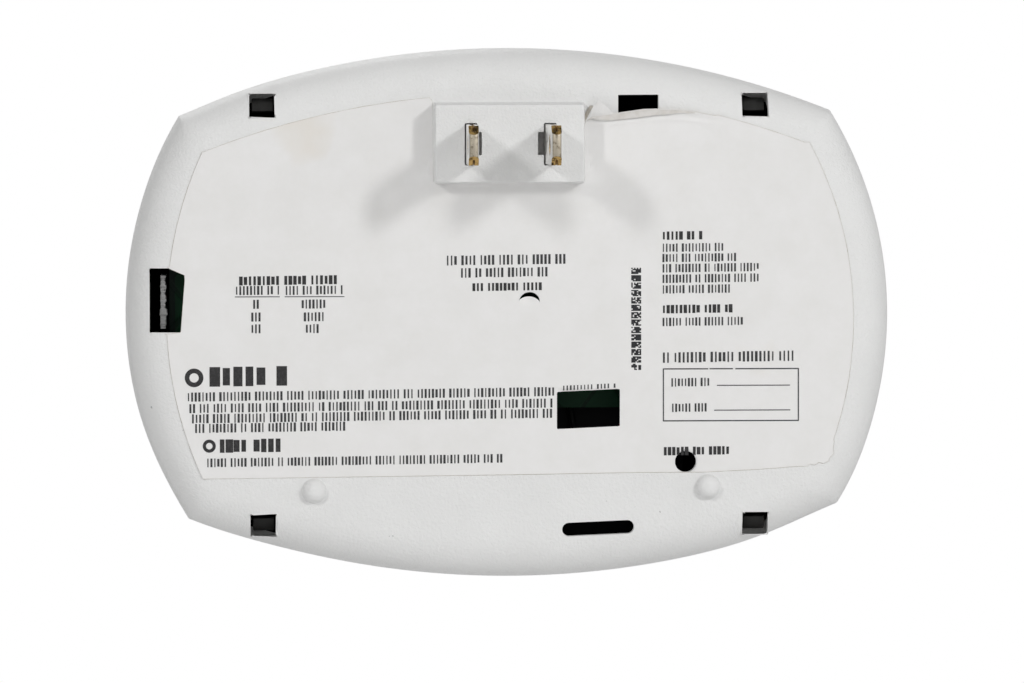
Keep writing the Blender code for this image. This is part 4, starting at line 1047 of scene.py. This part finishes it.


# ----------------------------------------------------------------------
# Circuit board: glass-epoxy with green solder mask. Copper poured under the mask shows lighter, with
# darker gaps between the areas and a bare margin of about 1 mm along its right edge.


def solder_mask():
    """Lighter green in cells like copper pours, dark green in the gaps and along the board's right edge."""
    material, tree, shader = plain_material("solder_mask", 0.4)
    shader.inputs["Specular IOR Level"].default_value = 0.15
    nodes, links = tree.nodes, tree.links
    place = nodes.new("ShaderNodeTexCoord")
    cells = nodes.new("ShaderNodeTexVoronoi")
    cells.feature, cells.inputs["Scale"].default_value = "DISTANCE_TO_EDGE", 160
    links.new(place.outputs["Object"], cells.inputs["Vector"])
    pour = banded(tree, cells.outputs["Distance"], 0.03, 0.06)
    copper = blended(tree, pour, screen(5, 42, 23), screen(8, 56, 31))
    split = nodes.new("ShaderNodeSeparateXYZ")
    links.new(place.outputs["Object"], split.inputs["Vector"])
    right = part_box("circuit_board")[1].x
    margin = banded(tree, split.outputs["X"], right - 1.0 * MM, right - 0.8 * MM)
    links.new(blended(tree, margin, copper, screen(8, 34, 24)), shader.inputs["Base Color"])
    roughened(tree, pour, 0.00003)
    return material


def sleeved(name, colour, stripe, at, low, high):
    """A shrink sleeve with a stripe printed down one side, past low along the axis that at names."""
    material, tree, shader = plain_material(name, 0.35)
    place = tree.nodes.new("ShaderNodeTexCoord")
    split = tree.nodes.new("ShaderNodeSeparateXYZ")
    tree.links.new(place.outputs["Object"], split.inputs["Vector"])
    band = banded(tree, split.outputs[at], low, high)
    tree.links.new(blended(tree, band, colour, stripe), shader.inputs["Base Color"])
    roughened(tree, noise(tree, 1200, 3), 0.000006)
    return material


dress("circuit_board", solder_mask())
dress("microcontroller drive_transistor", moulded("chip_epoxy", screen(42, 42, 44), 0.55, 0.000006, 0.08))
diodes = "rectifier_diode_1 rectifier_diode_2 rectifier_diode_3 rectifier_diode_4"
dress(diodes, moulded("diode_epoxy", screen(36, 36, 38), 0.4, 0.000004, 0.08))
dress("mains_capacitor", moulded("capacitor_yellow", screen(206, 176, 74), 0.38, 0.000006, 0.05))
dress("varistor", moulded("varistor_blue", screen(52, 96, 156), 0.42, 0.000012, 0.08))
stripe_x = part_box("smoothing_capacitor")[1].x - 1.2 * MM
navy, silver = screen(34, 40, 62), screen(186, 190, 196)
sleeve = sleeved("capacitor_sleeve", navy, silver, "X", stripe_x, stripe_x + 0.2 * MM)
dress("smoothing_capacitor bypass_capacitor", sleeve)
dress("fusible_resistor", moulded("resistor_beige", screen(196, 176, 138), 0.5, 0.000008, 0.06))
dress("horn_inductor", moulded("wound_coil", screen(150, 84, 44), 0.4, 0.00003, 0.15))
dress("blade_carrier", moulded("carrier_amber", screen(190, 178, 146), 0.45, 0.00001, 0.04))


# ----------------------------------------------------------------------
# Gas cell and sounder: a drawn steel can with a filter cap, pins into the board, and a brass-rimmed
# piezo disc held in a moulded horn behind the slots.

tinned = mottled("tinned_metal", 0.28, (196, 198, 200), (224, 225, 226), (900, 4), 0.35, 0.65, 1.0)
dress("sensor_can sensor_pin_1 sensor_pin_2", tinned)
dress("sensor_cap", moulded("cell_cap", screen(214, 214, 210), 0.42, 0.000008, 0.03))
dress("sensor_gasket", moulded("gasket_black", screen(40, 40, 40), 0.75, 0.00001, 0.08))
dress("horn_base horn_cap", moulded("horn_black", screen(44, 44, 46), 0.48, 0.000012, 0.08))
dress("piezo_disc", brass)
dress("horn_lead_red", moulded("red_wire", screen(176, 38, 34), 0.38, 0.000004, 0.05))
dress("horn_lead_black", moulded("black_wire", screen(34, 34, 36), 0.4, 0.000004, 0.05))


# ----------------------------------------------------------------------
# Studio: a pale table well below, a white surround beyond the object, and seven soft lamps. The two
# small ones at the upper right and upper left cross the blades' shadows on the block.

turn = full_turn(96)
table_radius, table_top = 0.55, -0.22
rows = [
    np.stack([table_radius * np.cos(turn), table_radius * np.sin(turn) - 0.02, np.full(96, level)], -1)
    for level in (table_top - 0.006, table_top)
]
table_finish = mottled("table_top", 0.6, (232, 232, 232), (238, 238, 238), (14, 3), 0.3, 0.7)
lofted("table", np.stack(rows), table_finish)

world = bpy.data.worlds.new("studio")
bpy.context.scene.world = world
world.use_nodes = True
sky = world.node_tree
direction = sky.nodes.new("ShaderNodeTexCoord")
split = sky.nodes.new("ShaderNodeSeparateXYZ")
sky.links.new(direction.outputs["Generated"], split.inputs["Vector"])
upwards = banded(sky, split.outputs["Z"], -0.5, 0.5)
room = blended(sky, upwards, (0.29, 0.29, 0.29), (0.42, 0.42, 0.42))
beyond = banded(sky, split.outputs["Y"], -0.95, -0.985)
sky.links.new(blended(sky, beyond, room, (1, 1, 1)), sky.nodes["Background"].inputs["Color"])


def soft_lamp(name, place, aim, width, height, power):
    """An oblong soft box at a place, turned to face its aim; metres and watts."""
    lamp = bpy.data.lights.new(name, "AREA")
    lamp.shape, lamp.size, lamp.size_y, lamp.energy = "RECTANGLE", width, height, power
    obj = bpy.data.objects.new(name, lamp)
    obj.location = place
    obj.rotation_euler = (Vector(aim) - Vector(place)).to_track_quat("-Z", "Y").to_euler()
    bpy.context.scene.collection.objects.link(obj)


centre = (0, 0, middle_z)
soft_lamp("upper_right", (-0.67, 0.92, 0.47), centre, 0.11, 0.17, 4.1)
soft_lamp("upper_left", (0.65, 0.90, 0.48), centre, 0.11, 0.17, 2.9)
soft_lamp("tent_wall", (0.0, 1.25, 0.30), centre, 1.4, 0.9, 0.7)
soft_lamp("right_wall", (-1.15, 0.55, 0.1), centre, 0.8, 0.8, 1.5)
soft_lamp("lower_right", (-0.50, 0.95, -0.50), centre, 0.5, 0.5, 1.0)
soft_lamp("lower_left", (0.50, 0.95, -0.50), centre, 0.5, 0.5, 0.7)
soft_lamp("front_fill", (0.2, -0.9, 0.5), centre, 0.5, 0.5, 2.0)

camera = bpy.data.objects.new("camera", bpy.data.cameras.new("camera"))
camera.data.lens, camera.data.sensor_width = 241.69, 36
camera.location = (0.04236, 1.1, 0.01452)
camera.rotation_euler = (math.radians(87.6005), math.radians(0.0962), math.radians(177.7825))
bpy.context.scene.collection.objects.link(camera)
bpy.context.scene.camera = camera
bpy.context.scene.view_settings.view_transform = "Standard"
